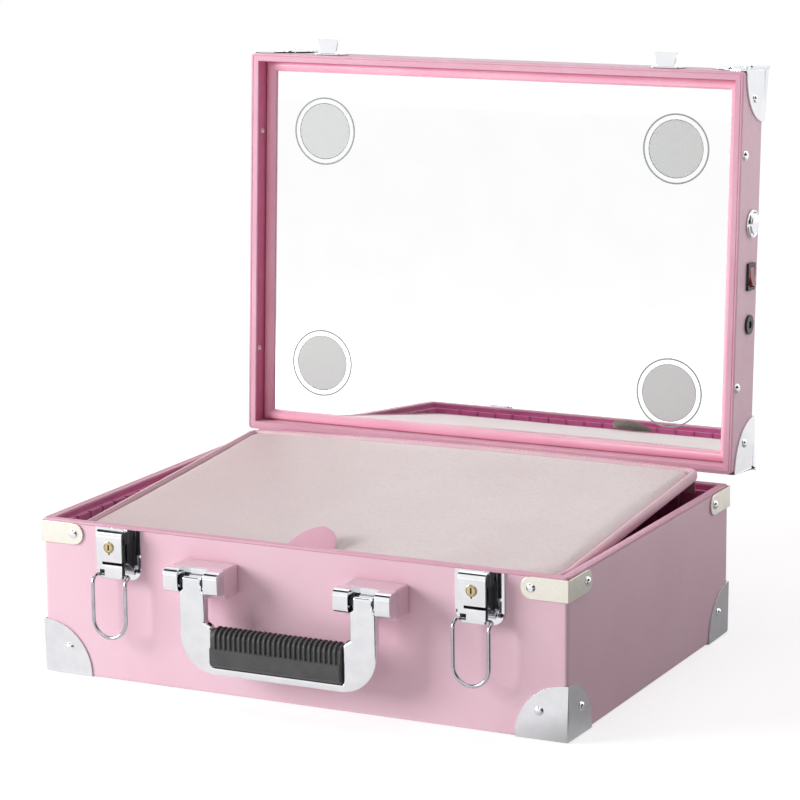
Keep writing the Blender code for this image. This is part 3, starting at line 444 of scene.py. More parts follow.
def chain(rings, closed):
    """Faces between rings of equally many points, capped at both ends unless the chain is closed."""
    sides, count = len(rings[0]), len(rings)
    points = [point for ring in rings for point in ring]
    faces = [] if closed else [list(range(sides)), list(range((count - 1) * sides, count * sides))]
    for i in range(count if closed else count - 1):
        here, there = i * sides, (i + 1) % count * sides
        for k in range(sides):
            following = (k + 1) % sides
            faces.append([here + k, here + following, there + following, there + k])
    return mesh_of(points, faces)


def border(half_x, half_y, radius, profile, steps=6):
    """A frame round the Z axis, from a profile of insets and heights, its outer corners rounded."""
    rings = []
    for turn, (sx, sy) in enumerate(((1, 1), (-1, 1), (-1, -1), (1, -1))):
        for step in range(steps + 1):
            angle = radians(90 * turn + 90 * step / steps)
            ring = []
            for inset, height in profile:
                bend, past = max(radius - inset, 0), max(inset - radius, 0)
                x = sx * (half_x - radius - past) + bend * cos(angle)
                y = sy * (half_y - radius - past) + bend * sin(angle)
                ring.append((x, y, height))
            rings.append(ring)
    return chain(rings, True)


def around(profile, steps):
    """A profile of places along the X axis and radii, repeated round it."""
    angles = [2 * pi * step / steps for step in range(steps)]
    return [[(along, r * cos(a), r * sin(a)) for along, r in profile] for a in angles]


def ring_of(profile, steps=40):
    """A ring turned about the X axis, from a closed profile of places along it and radii."""
    return chain(around(profile, steps), True)


def turned(profile, steps=64):
    """A body turned about the X axis, from a profile of places along it and radii that starts and ends on it."""
    count, faces = len(profile), []
    for i in range(steps):
        here, there = i * count, (i + 1) % steps * count
        faces += [[here + k, here + k + 1, there + k + 1, there + k] for k in range(count - 1)]
    return mesh_of([point for ring in around(profile, steps) for point in ring], faces)


def moved(mesh, place):
    mesh.transform(Matrix.Translation(place))
    return mesh


def swept(path, section):
    """A section of (outwards, up) offsets carried round a closed, level path."""
    rings = []
    for i, point in enumerate(path):
        along = (path[(i + 1) % len(path)] - path[i - 1]).normalized()
        outwards = along.cross(Vector((0, 0, 1))).normalized()
        rings.append([point + outwards * a + Vector((0, 0, b)) for a, b in section])
    return chain(rings, True)


def arc(centre, radius, first, last, steps):
    """Points along an arc, with angles in degrees."""
    angles = [radians(first + (last - first) * i / steps) for i in range(steps + 1)]
    return [(centre[0] + radius * cos(a), centre[1] + radius * sin(a)) for a in angles]


# Repeats, by Geometry Nodes


def group(name, sockets):
    """An empty tree with geometry in and out, and an input for each named size and the material."""
    tree = bpy.data.node_groups.new(name, "GeometryNodeTree")
    for socket, kind in {"Geometry": "Geometry", **sockets, "Material": "Material"}.items():
        tree.interface.new_socket(socket, in_out="INPUT", socket_type=f"NodeSocket{kind}")
    tree.interface.new_socket("Geometry", in_out="OUTPUT", socket_type="NodeSocketGeometry")
    return tree, node(tree, "NodeGroupInput", output=None)


def close_group(tree, copies, given):
    """Ends a tree: copies made real, shaded smooth and given their material."""
    real = node(tree, "GeometryNodeRealizeInstances", {"Geometry": copies})
    soft = node(tree, "GeometryNodeSetShadeSmooth", {"Geometry": real})
    done = node(tree, "GeometryNodeSetMaterial", {"Geometry": soft, "Material": given["Material"]})
    node(tree, "NodeGroupOutput", {"Geometry": done}, None)
    return tree


def domes_tree():
    """A low dome on every point, facing the way that the point's outward attribute says."""
    tree, given = group("domes", {"Radius": "Float", "Height": "Float", "Segments": "Int"})
    inputs = {"Segments": given["Segments"], "Rings": 10, "Radius": 1.0}
    ball = node(tree, "GeometryNodeMeshUVSphere", inputs, "Mesh")
    facing = node(tree, "GeometryNodeInputNamedAttribute", {"Name": "outward"}, data_type="FLOAT_VECTOR")
    turn = node(tree, "FunctionNodeAlignRotationToVector", {"Vector": facing}, axis="Z")
    size = node(tree, "ShaderNodeCombineXYZ", {0: given["Radius"], 1: given["Radius"], 2: given["Height"]})
    inputs = {"Points": given["Geometry"], "Instance": ball, "Rotation": turn, "Scale": size}
    return close_group(tree, node(tree, "GeometryNodeInstanceOnPoints", inputs), given)


def ribs_tree():
    """The given line as a round rib, repeated along X."""
    tree, given = group("ribs", {"Count": "Int", "Pitch": "Float", "Radius": "Float"})
    line = node(tree, "GeometryNodeMeshToCurve", {"Mesh": given["Geometry"]})
    ring = node(tree, "GeometryNodeCurvePrimitiveCircle", {"Resolution": 8, "Radius": given["Radius"]})
    rib = node(tree, "GeometryNodeCurveToMesh", {"Curve": line, "Profile Curve": ring, "Fill Caps": True})
    step = node(tree, "ShaderNodeCombineXYZ", {0: given["Pitch"]})
    places = node(tree, "GeometryNodeMeshLine", {"Count": given["Count"], "Offset": step}, mode="OFFSET")
    copies = node(tree, "GeometryNodeInstanceOnPoints", {"Points": places, "Instance": rib})
    return close_group(tree, copies, given)


def stitches_tree():
    """Short lengths of thread laid end to end along the given line, each with its gap."""
    tree, given = group("stitches", {"Pitch": "Float", "Length": "Float", "Radius": "Float"})
    line = node(tree, "GeometryNodeMeshToCurve", {"Mesh": given["Geometry"]})
    places = node(tree, "GeometryNodeCurveToPoints", {"Curve": line, "Length": given["Pitch"]}, None, mode="LENGTH")
    ball = node(tree, "GeometryNodeMeshUVSphere", {"Segments": 8, "Rings": 6, "Radius": 1.0}, "Mesh")
    half = node(tree, "ShaderNodeMath", {0: given["Length"], 1: 0.5}, operation="MULTIPLY")
    size = node(tree, "ShaderNodeCombineXYZ", {0: given["Radius"], 1: given["Radius"], 2: half})
    inputs = {"Points": places["Points"], "Instance": ball, "Rotation": places["Rotation"], "Scale": size}
    return close_group(tree, node(tree, "GeometryNodeInstanceOnPoints", inputs), given)


def grown(mesh, tree, key, **sizes):
    """The mesh that a tree makes from points or a line, with its inputs set."""
    work = bpy.data.objects.new("work", mesh)
    modifier = work.modifiers.new("grow", "NODES")
    modifier.node_group = tree
    given = {**sizes, "Material": FINISHES[key]}
    for item in tree.interface.items_tree:
        if item.in_out == "INPUT" and item.name in given:
            modifier[item.identifier] = given[item.name]
    scene.collection.objects.link(work)
    result = as_seen(work)
    result.materials.clear()
    return result


DOMES, RIBS, STITCHES = domes_tree(), ribs_tree(), stitches_tree()


def line_mesh(points, closed=False):
    count = len(points)
    edges = [(i, (i + 1) % count) for i in range(count if closed else count - 1)]
    mesh = bpy.data.meshes.new("line")
    mesh.from_pydata([tuple(point) for point in points], edges, [])
    return mesh


def domes(name, places, radius, height, body, key, lid=False):
    """Domed heads at places, each a point and the way it faces."""
    mesh = line_mesh([point for point, _ in places])
    facing = mesh.attributes.new("outward", "FLOAT_VECTOR", "POINT")
    for i, (_, outward) in enumerate(places):
        facing.data[i].vector = outward
    made = grown(mesh, DOMES, key, Radius=radius, Height=height, Segments=20)
    return piece(name, made, body, [key], lid=lid)


# Case


def hollow(bottom, top):
    """What is cut out of the covered boards, a gap wider than the lining all round."""
    low, high = [corner.xy + Vector((way * GAP, way * GAP)) for corner, way in zip(LINER, (-1, 1))]
    return block((*low, bottom), (*high, top))


def base_covering():
    """The covered box: vinyl outside, with flats let in under the corner caps."""
    low, high = BASE
    shell = block(low, high, EDGE_RADIUS, keep=lambda middle: middle.z > high.z - 1e-6)
    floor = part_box("floor_liner")[0].z - GAP
    cutters = [hollow(floor, high.z + PANEL)]
    for name, sx, sy in CORNERS:
        cap_low, cap_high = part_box(f"base_corner_{name}")
        inner_x = (cap_low.x if sx > 0 else cap_high.x) - sx * CAP_MARGIN
        inner_y = (cap_low.y if sy > 0 else cap_high.y) - sy * CAP_MARGIN
        x0, x1 = sorted((inner_x, sx * (high.x + PANEL)))
        y0, y1 = sorted((inner_y, sy * (high.y + PANEL)))
        cutters.append(block((x0, y0, -PANEL), (x1, y1, CAP_SHEET + GAP)))
    mesh = lined(carved(shell, *cutters))
    piece("base_covering", smooth(mesh, 40), "base", ["case_vinyl", "liner"], ["base_shell"])


def lid_covering():
    low, high = LID
    shell = block(low, high, EDGE_RADIUS, keep=lambda middle: middle.z < low.z + 1e-6)
    mesh = lined(carved(shell, hollow(low.z - PANEL, high.z - PANEL)))
    piece("lid_covering", smooth(mesh, 40), "lid", ["lid_vinyl", "lid_lining"], ["lid_shell"], lid=True)


def lined(mesh):
    """Gives the second finish to the faces of an open box that look into its hollow."""
    for face in mesh.polygons:
        centre = face.center
        over = abs(centre.x) < LINER[1].x + GAP + SAME and abs(centre.y) < LINER[1].y + GAP + SAME
        if abs(face.normal.z) > 0.9:
            looks_in = PANEL / 2 < centre.z < LID[1].z - PANEL / 2
        else:
            looks_in = face.normal.xy.dot(centre.xy) < 0
        face.material_index = int(over and looks_in)
    return mesh


def rim_profile(low, high, width):
    """Section of the edging: an outer lip, a groove and a flat strip. It grows from low to high."""
    lip, groove, depth, soft = 0.0015, 0.0004, 0.0005, 0.0005
    rise = 1 if high > low else -1
    top = high - rise * soft
    profile = [(0, low), (0, top)]
    profile += [(soft * (1 - cos(a)), top + rise * soft * sin(a)) for a in (pi / 6, pi / 3, pi / 2)]
    profile += [(lip, high), (lip + groove / 4, high - rise * depth), (lip + groove, high - rise * depth)]
    profile += [(lip + 1.3 * groove, high), (width - soft, high), (width - soft / 3, high - rise * soft / 3)]
    return profile + [(width, top), (width, low)]


def edgings():
    width = RIM[1].x - LINER[1].x
    for body, (low, high) in (("base", RIM), ("lid", LID_RIM)):
        heights = (low.z, high.z) if body == "base" else (high.z, low.z)
        mesh = border(high.x, high.y, EDGE_RADIUS, rim_profile(*heights, width))
        piece(f"{body}_edging", smooth(mesh, 40), body, ["edging"], [f"{body}_rim"], lid=body == "lid")


# Nodes shown as they are, and their finishes
CARRIED = {"floor_liner": "liner", "slotted_liner": "liner", "mirror_glass": "mirror", "mirror_backing": "board"}

# Starts of the names of nodes that only have their edges rounded: body, finish, width and segments
ROUNDED = {
    "divider_": ("base", "liner", 0.0005, 2),
    "handle_mount_": ("base", "case_vinyl", 0.0016, 4),
    "handle_clevis_": ("base", "chrome", 0.0024, 5),
    "hinge_base_leaf_": ("base", "nickel", 0.0003, 2),
    "hinge_lid_leaf_": ("lid", "nickel", 0.0003, 2),
    "latch_lock_left": ("lock_left", "brass", 0.0003, 2),
    "latch_lock_right": ("lock_right", "brass", 0.0003, 2),
    "led_driver": ("lid", "black", 0.0010, 3),
    "led_board_": ("lid", "circuit", 0.0002, 1),
    "light_diffuser_": ("lid", "frosted", 0.0003, 2),
    "switch_housing": ("lid", "black", 0.0005, 3),
    "switch_rocker": ("rocker", "red", 0.0005, 3),
    "dc_jack": ("lid", "black", 0.0004, 3),
}


def plain_nodes():
    """The nodes that keep their own shape."""
    for name, key in CARRIED.items():
        kept = frame["nodes"][name]
        kept.data.materials.clear()
        kept.data.materials.append(FINISHES[key])
    for start, sizes in ROUNDED.items():
        for name in [name for name in frame["nodes"] if name.startswith(start)]:
            refined(name, *sizes)


# Corner hardware


def bent(name, body, key, signs, radius):
    """A pressed cap or strap, bent round the case's edges on the sides that the signs give."""
    work = bmesh.new()
    work.from_mesh(merged(name))
    if body == "lid":
        work.transform(SHUT)
    axes = [i for i in range(3) if signs[i]]
    planes = {i: (min, max)[signs[i] > 0](vertex.co[i] for vertex in work.verts) for i in axes}
    bends = []
    for edge in work.edges:
        on = [all(abs(vertex.co[i] - planes[i]) < SAME for vertex in edge.verts) for i in axes]
        if sum(on) == 2:
            bends.append(edge)
    bmesh.ops.bevel(work, geom=bends, offset=radius, segments=6, profile=0.5, affect="EDGES")
    mesh = smooth(applied(settled(work), rounding(0.0003, 2, 50)))
    piece(f"{name}_finished", mesh, body, [key], [name], lid=body == "lid")


CAP_BEND, STRAP_BEND = 0.0022, 0.0011
CAP_RIVET = (0.0034, 0.0020)  # radius and height
CAP_RIVET_INSET = 0.021  # from both of its face's edges


def caps_and_straps():
    base_rivets, lid_rivets, strap_rivets = [], [], []
    inset, sheet = CAP_RIVET_INSET, CAP_SHEET + GAP
    for name, sx, sy in CORNERS:
        bent(f"base_corner_{name}", "base", "chrome", (sx, sy, -1), CAP_BEND)
        bent(f"lid_corner_{name}", "lid", "chrome", (sx, sy, 1), CAP_BEND)
        bent(f"rim_bracket_{name}", "base", "nickel", (sx, sy, 0), STRAP_BEND)
        for (_, high), rivets, z in ((BASE, base_rivets, inset), (LID, lid_rivets, LID[1].z - inset)):
            rivets.append(((sx * (high.x - inset), sy * (high.y + sheet), z), (0, sy, 0)))
            rivets.append(((sx * (high.x + sheet), sy * (high.y - inset), z), (sx, 0, 0)))
        lid_rivets.append(((sx * (LID[1].x - inset), sy * (LID[1].y - inset), LID[1].z + sheet), (0, 0, 1)))
        low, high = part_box(f"rim_bracket_{name}")
        half = (high.z - low.z) / 2
        end_x = (low.x if sx > 0 else high.x) + sx * half
        end_y = (low.y if sy > 0 else high.y) + sy * half
        face_x, face_y = high.x if sx > 0 else low.x, high.y if sy > 0 else low.y
        strap_rivets.append(((end_x, face_y, low.z + half), (0, sy, 0)))
        strap_rivets.append(((face_x, end_y, low.z + half), (sx, 0, 0)))
    domes("base_cap_rivets", base_rivets, *CAP_RIVET, "base", "chrome")
    domes("lid_cap_rivets", lid_rivets, *CAP_RIVET, "lid", "chrome", lid=True)
    domes("strap_rivets", strap_rivets, *CAP_RIVET, "base", "chrome")


def hinges():
    leaf, from_edge, from_end = 0.0012, 0.007, 0.006
    heads = {"base": [], "lid": []}
    for side, _ in SIDES:
        for body, name in (("base", f"hinge_base_leaf_{side}"), ("lid", f"hinge_lid_leaf_{side}")):
            low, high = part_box(name) if body == "base" else shut_box(name)
            height = low.z + from_edge if body == "base" else high.z - from_edge
            for x in (low.x + from_end, high.x - from_end):
                heads[body].append(((x, BASE[1].y + GAP + leaf, height), (0, 1, 0)))
    for body, places in heads.items():
        domes(f"hinge_rivets_{body}", places, 0.0026, 0.0013, body, "nickel", lid=body == "lid")


# Latches


def latches():
    """Plates and levers with a slit, a notch and cheeks in painted shade, their locks and loops, and the keepers."""
    plate_rivets = []
    for side, _ in SIDES:
        low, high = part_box(f"latch_lever_{side}")
        x, front = (low.x + high.x) / 2, low.y
        plate_low, plate_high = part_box(f"latch_plate_{side}")
        # Painted shade: the plate's faces in this box, beside the lever's cheeks, take the black finish
        shade = ((plate_low.x, plate_low.y - GAP, low.z + 0.0125), plate_high - Vector((0, 0.0028, 0.0015)))
        refined(f"latch_plate_{side}", "base", "chrome", 0.0004, 2, dark=[shade])
        # The lever's slit, its notch and its cheeks are carved as pockets and painted black as shade
        pockets = [
            ((low.x + 0.0048, front - GAP, low.z + 0.0119), (high.x + GAP, front + 0.0022, low.z + 0.0141)),
            ((low.x - GAP, front - GAP, low.z + 0.0038), (low.x + 0.0066, front + 0.0040, low.z + 0.0082)),
        ]
        cheek_top = high.z - 0.0042
        for x0, x1 in ((low.x - GAP, low.x + 0.0012), (high.x - 0.0012, high.x + GAP)):
            pockets.append(((x0, front + 0.0014, low.z + 0.0150), (x1, high.y - 0.0010, cheek_top)))
        # Painted shade: the lever's side walls round the cheeks take the black finish
        painted_shade_walls = []
        for x0, x1 in ((low.x - GAP, low.x + 0.0042), (high.x - 0.0042, high.x + GAP)):
            painted_shade_walls.append(((x0, front + 0.0012, low.z + 0.0125), (x1, high.y + GAP, cheek_top)))
        refined(f"latch_lever_{side}", f"lever_{side}", "chrome", 0.0006, 3, pockets, painted_shade_walls)
        lock_ring(side, x, front)
        wire_loop(side)
        keeper(side)
        key_stop = [((x, front + 0.0001, high.z - 0.0177), (0, -1, 0))]
        domes(f"latch_key_stop_{side}", key_stop, 0.0008, 0.0003, f"lever_{side}", "black_steel_and_painted_shade")
        for sx in (-1, 1):
            plate_rivets.append(((x + sx * 0.0164, -BASE[1].y - 0.0022, low.z + 0.0060), (0, -1, 0)))
    domes("latch_plate_rivets", plate_rivets, 0.0013, 0.0007, "base", "black_steel_and_painted_shade")


def keeper(side):
    """The catch on the lid, its hook drawn out to nearly the loop's width."""
    name, stretch, sheet = f"latch_keeper_{side}", 1.35, 0.0015
    mesh = merged(name)
    mesh.transform(SHUT)
    low, high = shut_box(name)
    middle = (low.x + high.x) / 2
    for vertex in mesh.vertices:
        if vertex.co.y < high.y - sheet:
            vertex.co.x = middle + (vertex.co.x - middle) * stretch
    mesh = smooth(applied(mesh, rounding(0.0003, 2)))
    piece(f"{name}_finished", mesh, "lid", ["chrome"], [name], lid=True)


def lock_ring(side, x, face):
    """The flange round the key cylinder."""
    inner, outer, rise, sunk = 0.0035, 0.0044, 0.0006, -0.0003
    profile = [(0.0002, inner), (rise, inner + 0.0002), (rise, outer - 0.0003), (0.0002, outer)]
    mesh = ring_of(profile + [(sunk, outer), (sunk, inner)])
    mesh.transform(Matrix.Rotation(radians(-90), 4, "Z"))
    height = middle_of(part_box(f"latch_lock_{side}")).z
    piece(f"latch_lock_ring_{side}", smooth(moved(mesh, (x, face, height)), 40), f"lever_{side}", ["brass"])


def wire_loop(side):
    """The loop of round wire: two pins turned in to the lever, cranked out and bent round below."""
    low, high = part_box(f"latch_loop_{side}")
    radius, out, half = 0.0014, 0.0062, 0.0136
    x, (_, y, z) = (low.x + high.x) / 2, joint(f"loop_{side}_swing")["pos_m"]
    crank = [(half - 0.0035, 0, 0), (half - 0.0012, 0, 0), (half, 0.0012, 0.0002)]
    crank += [(half, out - 0.0022, 0.0016), (half, out - 0.0006, 0.0034), (half, out, 0.0060)]
    route = [Vector((x + a, y - b, z - c)) for a, b, c in crank]
    bottom = arc((x, low.z + radius + half - 0.0008), half, 0, -180, 28)
    route += [Vector((px, y - out, pz)) for px, pz in bottom]
    route += [Vector((x - a, y - b, z - c)) for a, b, c in reversed(crank)]
    piece(f"latch_loop_{side}_wire", wire(route, radius), f"loop_{side}", ["wire"], [f"latch_loop_{side}"])


def wire(route, radius, sides=14):
    """Round wire along a route in space."""
    rings, across = [], Vector((0, 0, 1))
    for i, point in enumerate(route):
        along = (route[min(i + 1, len(route) - 1)] - route[max(i - 1, 0)]).normalized()
        across = (across - along * across.dot(along)).normalized()
        beside = along.cross(across)
        rings.append([point + across * a + beside * b for a, b in arc((0, 0), radius, 0, 360, sides)[:-1]])
    return smooth(chain(rings, False), 60)


# Handle

ARM_INNER = 0.0580  # half the space between the casting's arms
HANDLE_PIVOT = joint("handle_swing")["pos_m"]


def bail():
    """The cast bail: a flat-faced U with broad rounded edges, narrowed at its pins."""
    low, high = BAIL
    corner, foot, hub = 0.028, GRIP[1].x + 0.0002, 0.0024
    neck, shoulder = HANDLE_PIVOT[2] - 0.0062, GRIP[1].z + 0.0027
    outer = [(high.x - hub, high.z), (high.x - hub, neck + 0.0010), (high.x, neck - 0.0012)]
    outer += arc((high.x - corner, low.z + corner), corner, 0, -90, 14)
    inner = [(foot, GRIP[0].z - 0.0003), (foot, GRIP[1].z - 0.0013), (ARM_INNER, shoulder)]
    inner += [(ARM_INNER, neck - 0.0012), (ARM_INNER + hub, neck + 0.0010), (ARM_INNER + hub, high.z)]
    left = [(-x, z) for x, z in outer[::-1] + inner[::-1]]
    faces = [[(x, y, z) for x, z in outer + left + inner] for y in (low.y, high.y)]
    mesh = applied(chain(faces, False), rounding(0.0019, 5, 50))
    piece("handle_bail_cast", smooth(mesh, 60), "handle", ["chrome"], ["handle_bail"])
    screws = [((sx * (foot + 0.0030), low.y + 0.0036, shoulder - 0.0022), (-sx, -0.5, 1.2)) for _, sx in SIDES]
    domes("handle_set_screws", screws, 0.0019, 0.0012, "handle", "black_steel_and_painted_shade")


def pins():
    """The pins that the bail turns on, across both hubs."""
    radius, length = 0.0036, BAIL[1].x - ARM_INNER - 0.0008
    work = bmesh.new()
    for _, sx in SIDES:
        place = Matrix.Translation((sx * (ARM_INNER + BAIL[1].x) / 2, *HANDLE_PIVOT[1:]))
        place = place @ Matrix.Rotation(radians(90), 4, "Y")
        sizes = {"segments": 24, "radius1": radius, "radius2": radius, "depth": length}
        bmesh.ops.create_cone(work, cap_ends=True, matrix=place, **sizes)
    piece("handle_pins", smooth(settled(work), 40), "handle", ["black_steel_and_painted_shade"])


def grip():
    """A moulded grip, smooth below and finned over its top half."""
    low, high = GRIP
    pitch, fin, corner, proud, foot = 0.0040, 0.0010, 0.0060, 0.0016, 0.0045
    middle, waist = (low.y + high.y) / 2, (low.z + high.z) / 2 - 0.0005
    half, top = (high.y - low.y) / 2, high.z - proud - corner
    section = arc((middle + half - proud - corner, top), corner, 0, 90, 8)
    section += arc((middle - half + proud + corner, top), corner, 90, 180, 8)
    section += [(low.y + proud, waist + 0.0014), (low.y, waist)]
    section += arc((low.y + foot, low.z + foot), foot, 180, 270, 6)
    section += arc((high.y - foot, low.z + foot), foot, 270, 360, 6)
    section += [(high.y, waist), (high.y - proud, waist + 0.0014)]
    rings = [[(x, y, z) for y, z in section] for x in (low.x, low.x + 0.0030, high.x - 0.0030, high.x)]
    mesh = smooth(applied(chain(rings, False), rounding(0.0006, 3, 60)), 45)
    piece("handle_grip_body", mesh, "handle", ["rubber"], ["handle_grip"])
    reach, top = half - fin, high.z - fin - corner
    line = [(middle - reach, waist), *arc((middle - reach + corner, top), corner, 180, 90, 8)]
    line += [*arc((middle + reach - corner, top), corner, 90, 0, 8), (middle + reach, waist)]
    count = int((high.x - low.x - pitch) / pitch)
    mesh = line_mesh([(-pitch * (count - 1) / 2, y, z) for y, z in line])
    ribs = grown(mesh, RIBS, "rubber", Count=count, Pitch=pitch, Radius=fin)
    piece("handle_grip_fins", ribs, "handle", ["rubber"])


# Flap

FLAP_THICK = 0.0085
FLAP_FRONT = max(v.co.z for v in frame["nodes"]["flap"].data.vertices if v.co.y < FLAP[0].y + 1e-4)  # its top there
BACK_RADIUS, LEFT_RADIUS, RIGHT_RADIUS = 0.006, 0.014, 0.035  # of the flap's corners


def flap_outline(inset, spacing=0.006):
    """Points round the flap's edge, this far inside it."""
    low, high = FLAP
    x, y0, y1 = high.x - inset, low.y + inset, high.y - inset
    back, left, right = BACK_RADIUS, LEFT_RADIUS - inset, RIGHT_RADIUS - inset
    corners = [((x - back, y1 - back), back, 0), ((back - x, y1 - back), back, 90)]
    corners += [((left - x, y0 + left), left, 180), ((x - right, y0 + right), right, 270)]
    points = []
    for centre, radius, first in corners:
        steps = max(4, int(radius * pi / spacing))
        points += arc(centre, radius, first, first + 90, steps)
    filled = []
    for i, (ax, ay) in enumerate(points):
        bx, by = points[(i + 1) % len(points)]
        gaps = max(1, int(((bx - ax) ** 2 + (by - ay) ** 2) ** 0.5 / spacing))
        filled += [(ax + (bx - ax) * k / gaps, ay + (by - ay) * k / gaps) for k in range(gaps)]
    return filled


def flap_lift(x, y):
    """Height of the flap's top at a place: its slope, and the bow of its back edge."""
    share = (y - FLAP[0].y) / (FLAP[1].y - FLAP[0].y)
    bow = 0.0007 + 0.0077 * x - 0.080 * x * x
    return FLAP_FRONT + share * (FLAP[1].z - FLAP_FRONT) + share * bow


def flap():
    """A thin foam pad in leatherette, blown up by cloth pressure, no point moving further than a set most."""
    voxel, pressure, frames, most = 0.0035, 4.0, 20, 0.0016
    work = bmesh.new()
    bottom = work.faces.new([work.verts.new((x, y, 0)) for x, y in flap_outline(0.0042)])
    raised = bmesh.ops.extrude_face_region(work, geom=[bottom])["geom"]
    for vertex in [item for item in raised if isinstance(item, bmesh.types.BMVert)]:
        vertex.co.z = FLAP_THICK - 0.0022
    bmesh.ops.recalc_face_normals(work, faces=work.faces)
    mesh = applied(settled(work), ("REMESH", {"mode": "VOXEL", "voxel_size": voxel}))
    mesh = inflated(mesh, pressure, frames, most)
    for vertex in mesh.vertices:
        vertex.co.z += flap_lift(vertex.co.x, vertex.co.y) - FLAP_THICK + 0.0010
    mesh = applied(mesh, ("SUBSURF", {"levels": 1, "render_levels": 1}))
    made = piece("flap_pad", smooth(mesh, 80), "flap", ["flap"], ["flap"])


def inflated(mesh, pressure, frames, most):
    """The mesh blown up by cloth pressure, no point moving further than the most allowed."""
    work = bpy.data.objects.new("pad", mesh)
    scene.collection.objects.link(work)
    cloth = work.modifiers.new("cloth", "CLOTH")
    cloth.settings.use_pressure = True
    cloth.settings.uniform_pressure_force = pressure
    cloth.settings.effector_weights.gravity = 0
    cloth.point_cache.frame_end = frames
    for number in range(1, frames + 1):
        scene.frame_set(number)
    blown = as_seen(work)
    for before, after in zip(mesh.vertices, blown.vertices):
        step = after.co - before.co
        if step.length > most:
            after.co = before.co + step.normalized() * most
    scene.frame_set(1)
    return blown


def binding():
    """The bound edge: a folded strip round the pad, with a row of stitches."""
    reach, half = 0.0029, FLAP_THICK / 2 - 0.0004
    path = [Vector((x, y, flap_lift(x, y) - half)) for x, y in flap_outline(reach)]
    section = []
    for angle in [2 * pi * k / 16 for k in range(16)]:
        up = 1 if sin(angle) > 0 else -1
        section.append((reach * cos(angle), (half + 0.0002) * up * abs(sin(angle)) ** 0.6))
    piece("flap_binding", smooth(swept(path, section), 60), "flap", ["binding"])
    seam = [Vector((x, y, flap_lift(x, y) + 0.0001)) for x, y in flap_outline(1.44 * reach)]
    thread = grown(line_mesh(seam, True), STITCHES, "edging", Pitch=0.0038, Length=0.0030, Radius=0.0003)
    piece("flap_stitches", thread, "flap", ["edging"])


def pull_tab():
    """A doubled half-round tab, curling up from the flap's front edge."""
    low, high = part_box("pull_tab")
    half, thick, tilt = (high.x - low.x) / 2, 0.0018, radians(20)
    length = (high.y - low.y) / cos(tilt)
    rings, rows = [], 14
    for row in range(rows + 1):
        share = sin(pi / 2 * row / rows)
        reach = half * max(cos(pi / 2 * row / rows), 0.03)
        along, curl = length * share * 0.96, 0.0022 * share * share
        y = low.y + 0.0007 + along * cos(tilt) - curl * sin(tilt)
        z = low.z + 0.0012 + along * sin(tilt) + curl * cos(tilt)
        side = [(reach * cos(a), thick / 2 * sin(a)) for a in [2 * pi * k / 24 for k in range(24)]]
        rings.append([(a, y, z + b) for a, b in side])
    mesh = smooth(chain(rings, False), 60)
    for face in mesh.polygons:
        face.material_index = int(face.normal.z < -0.3)
    piece("pull_tab_finished", mesh, "flap", ["edging", "felt"], ["pull_tab"])


def hinge_tape():
    """A strip of leatherette that joins the pad's back edge to the wall behind it."""
    half, thick, wall = 0.188, 0.0009, LINER[1].y - 0.0050
    back, top = FLAP[1].y, FLAP[1].z
    run = [(back - 0.0006, top - 0.0044), (back + 0.0012, top - 0.0042), (back + 0.0028, top - 0.0056)]
    run += [(back + 0.0042, top - 0.0092), (wall - 0.0014, top - 0.0140), (wall - 0.0011, LINER[1].z - 0.0020)]
    run = [Vector((0, y, z)) for y, z in run]
    front, behind = [], []
    for i, point in enumerate(run):
        along = (run[min(i + 1, len(run) - 1)] - run[max(i - 1, 0)]).normalized()
        out = Vector((1, 0, 0)).cross(along) * thick / 2
        front.append(point + out)
        behind.append(point - out)
    rings = [[(x, point.y, point.z) for point in front + behind[::-1]] for x in (-half, -half / 3, half / 3, half)]
    made = piece("flap_hinge_tape", smooth(chain(rings, False), 60), "base", ["edging"])


# Mirror and lights


def mirror_and_lights():
    """The half-round moulding, and what shows of each of the four lights."""
    low, high = shut_box("mirror_frame")
    reach, back, foot = 0.00415, high.z, 0.0004
    profile = [(0, back)]
    for angle in [pi * step / 16 for step in range(17)]:
        profile.append((reach * (1 - cos(angle)), back - foot - (high.z - low.z - foot) * sin(angle) ** 0.85))
    profile.append((2 * reach, back))
    mesh = border(high.x, high.y, 0.0, profile, 1)
    piece("mirror_moulding", smooth(mesh, 40), "lid", ["satin"], ["mirror_frame"], lid=True)
    for name, _, _ in CORNERS:
        etched_ring(name)
        lamp_rings(name)


def etched_ring(name):
    """A fine frosted line round a light, on the mirror's face."""
    inner, outer, proud, sunk = 0.0258, 0.0271, 0.00008, 0.0004
    centre = middle_of(shut_box(f"light_diffuser_{name}"))
    mesh = ring_of([(-sunk, inner), (proud, inner), (proud, outer), (-sunk, outer)], 96)
    mesh.transform(Matrix.Rotation(radians(90), 4, "Y"))
    mesh = smooth(moved(mesh, (*centre.xy, MIRROR[0].z)), 40)
    piece(f"etched_ring_{name}", mesh, "lid", ["etched"], lid=True)


def lamp_rings(name):
    """Two rings of lamps on a round board, on the side towards the mirror."""
    box = shut_box(f"led_board_{name}")
    places = []
    for radius, count in ((0.008, 6), (0.016, 12)):
        for x, y in arc(middle_of(box).xy, radius, 0, 360, count)[:-1]:
            places.append(((x, y, box[0].z), (0, 0, -1)))
    domes(f"led_lamps_{name}", places, 0.0016, 0.0009, "lid", "satin", lid=True)


# Controls


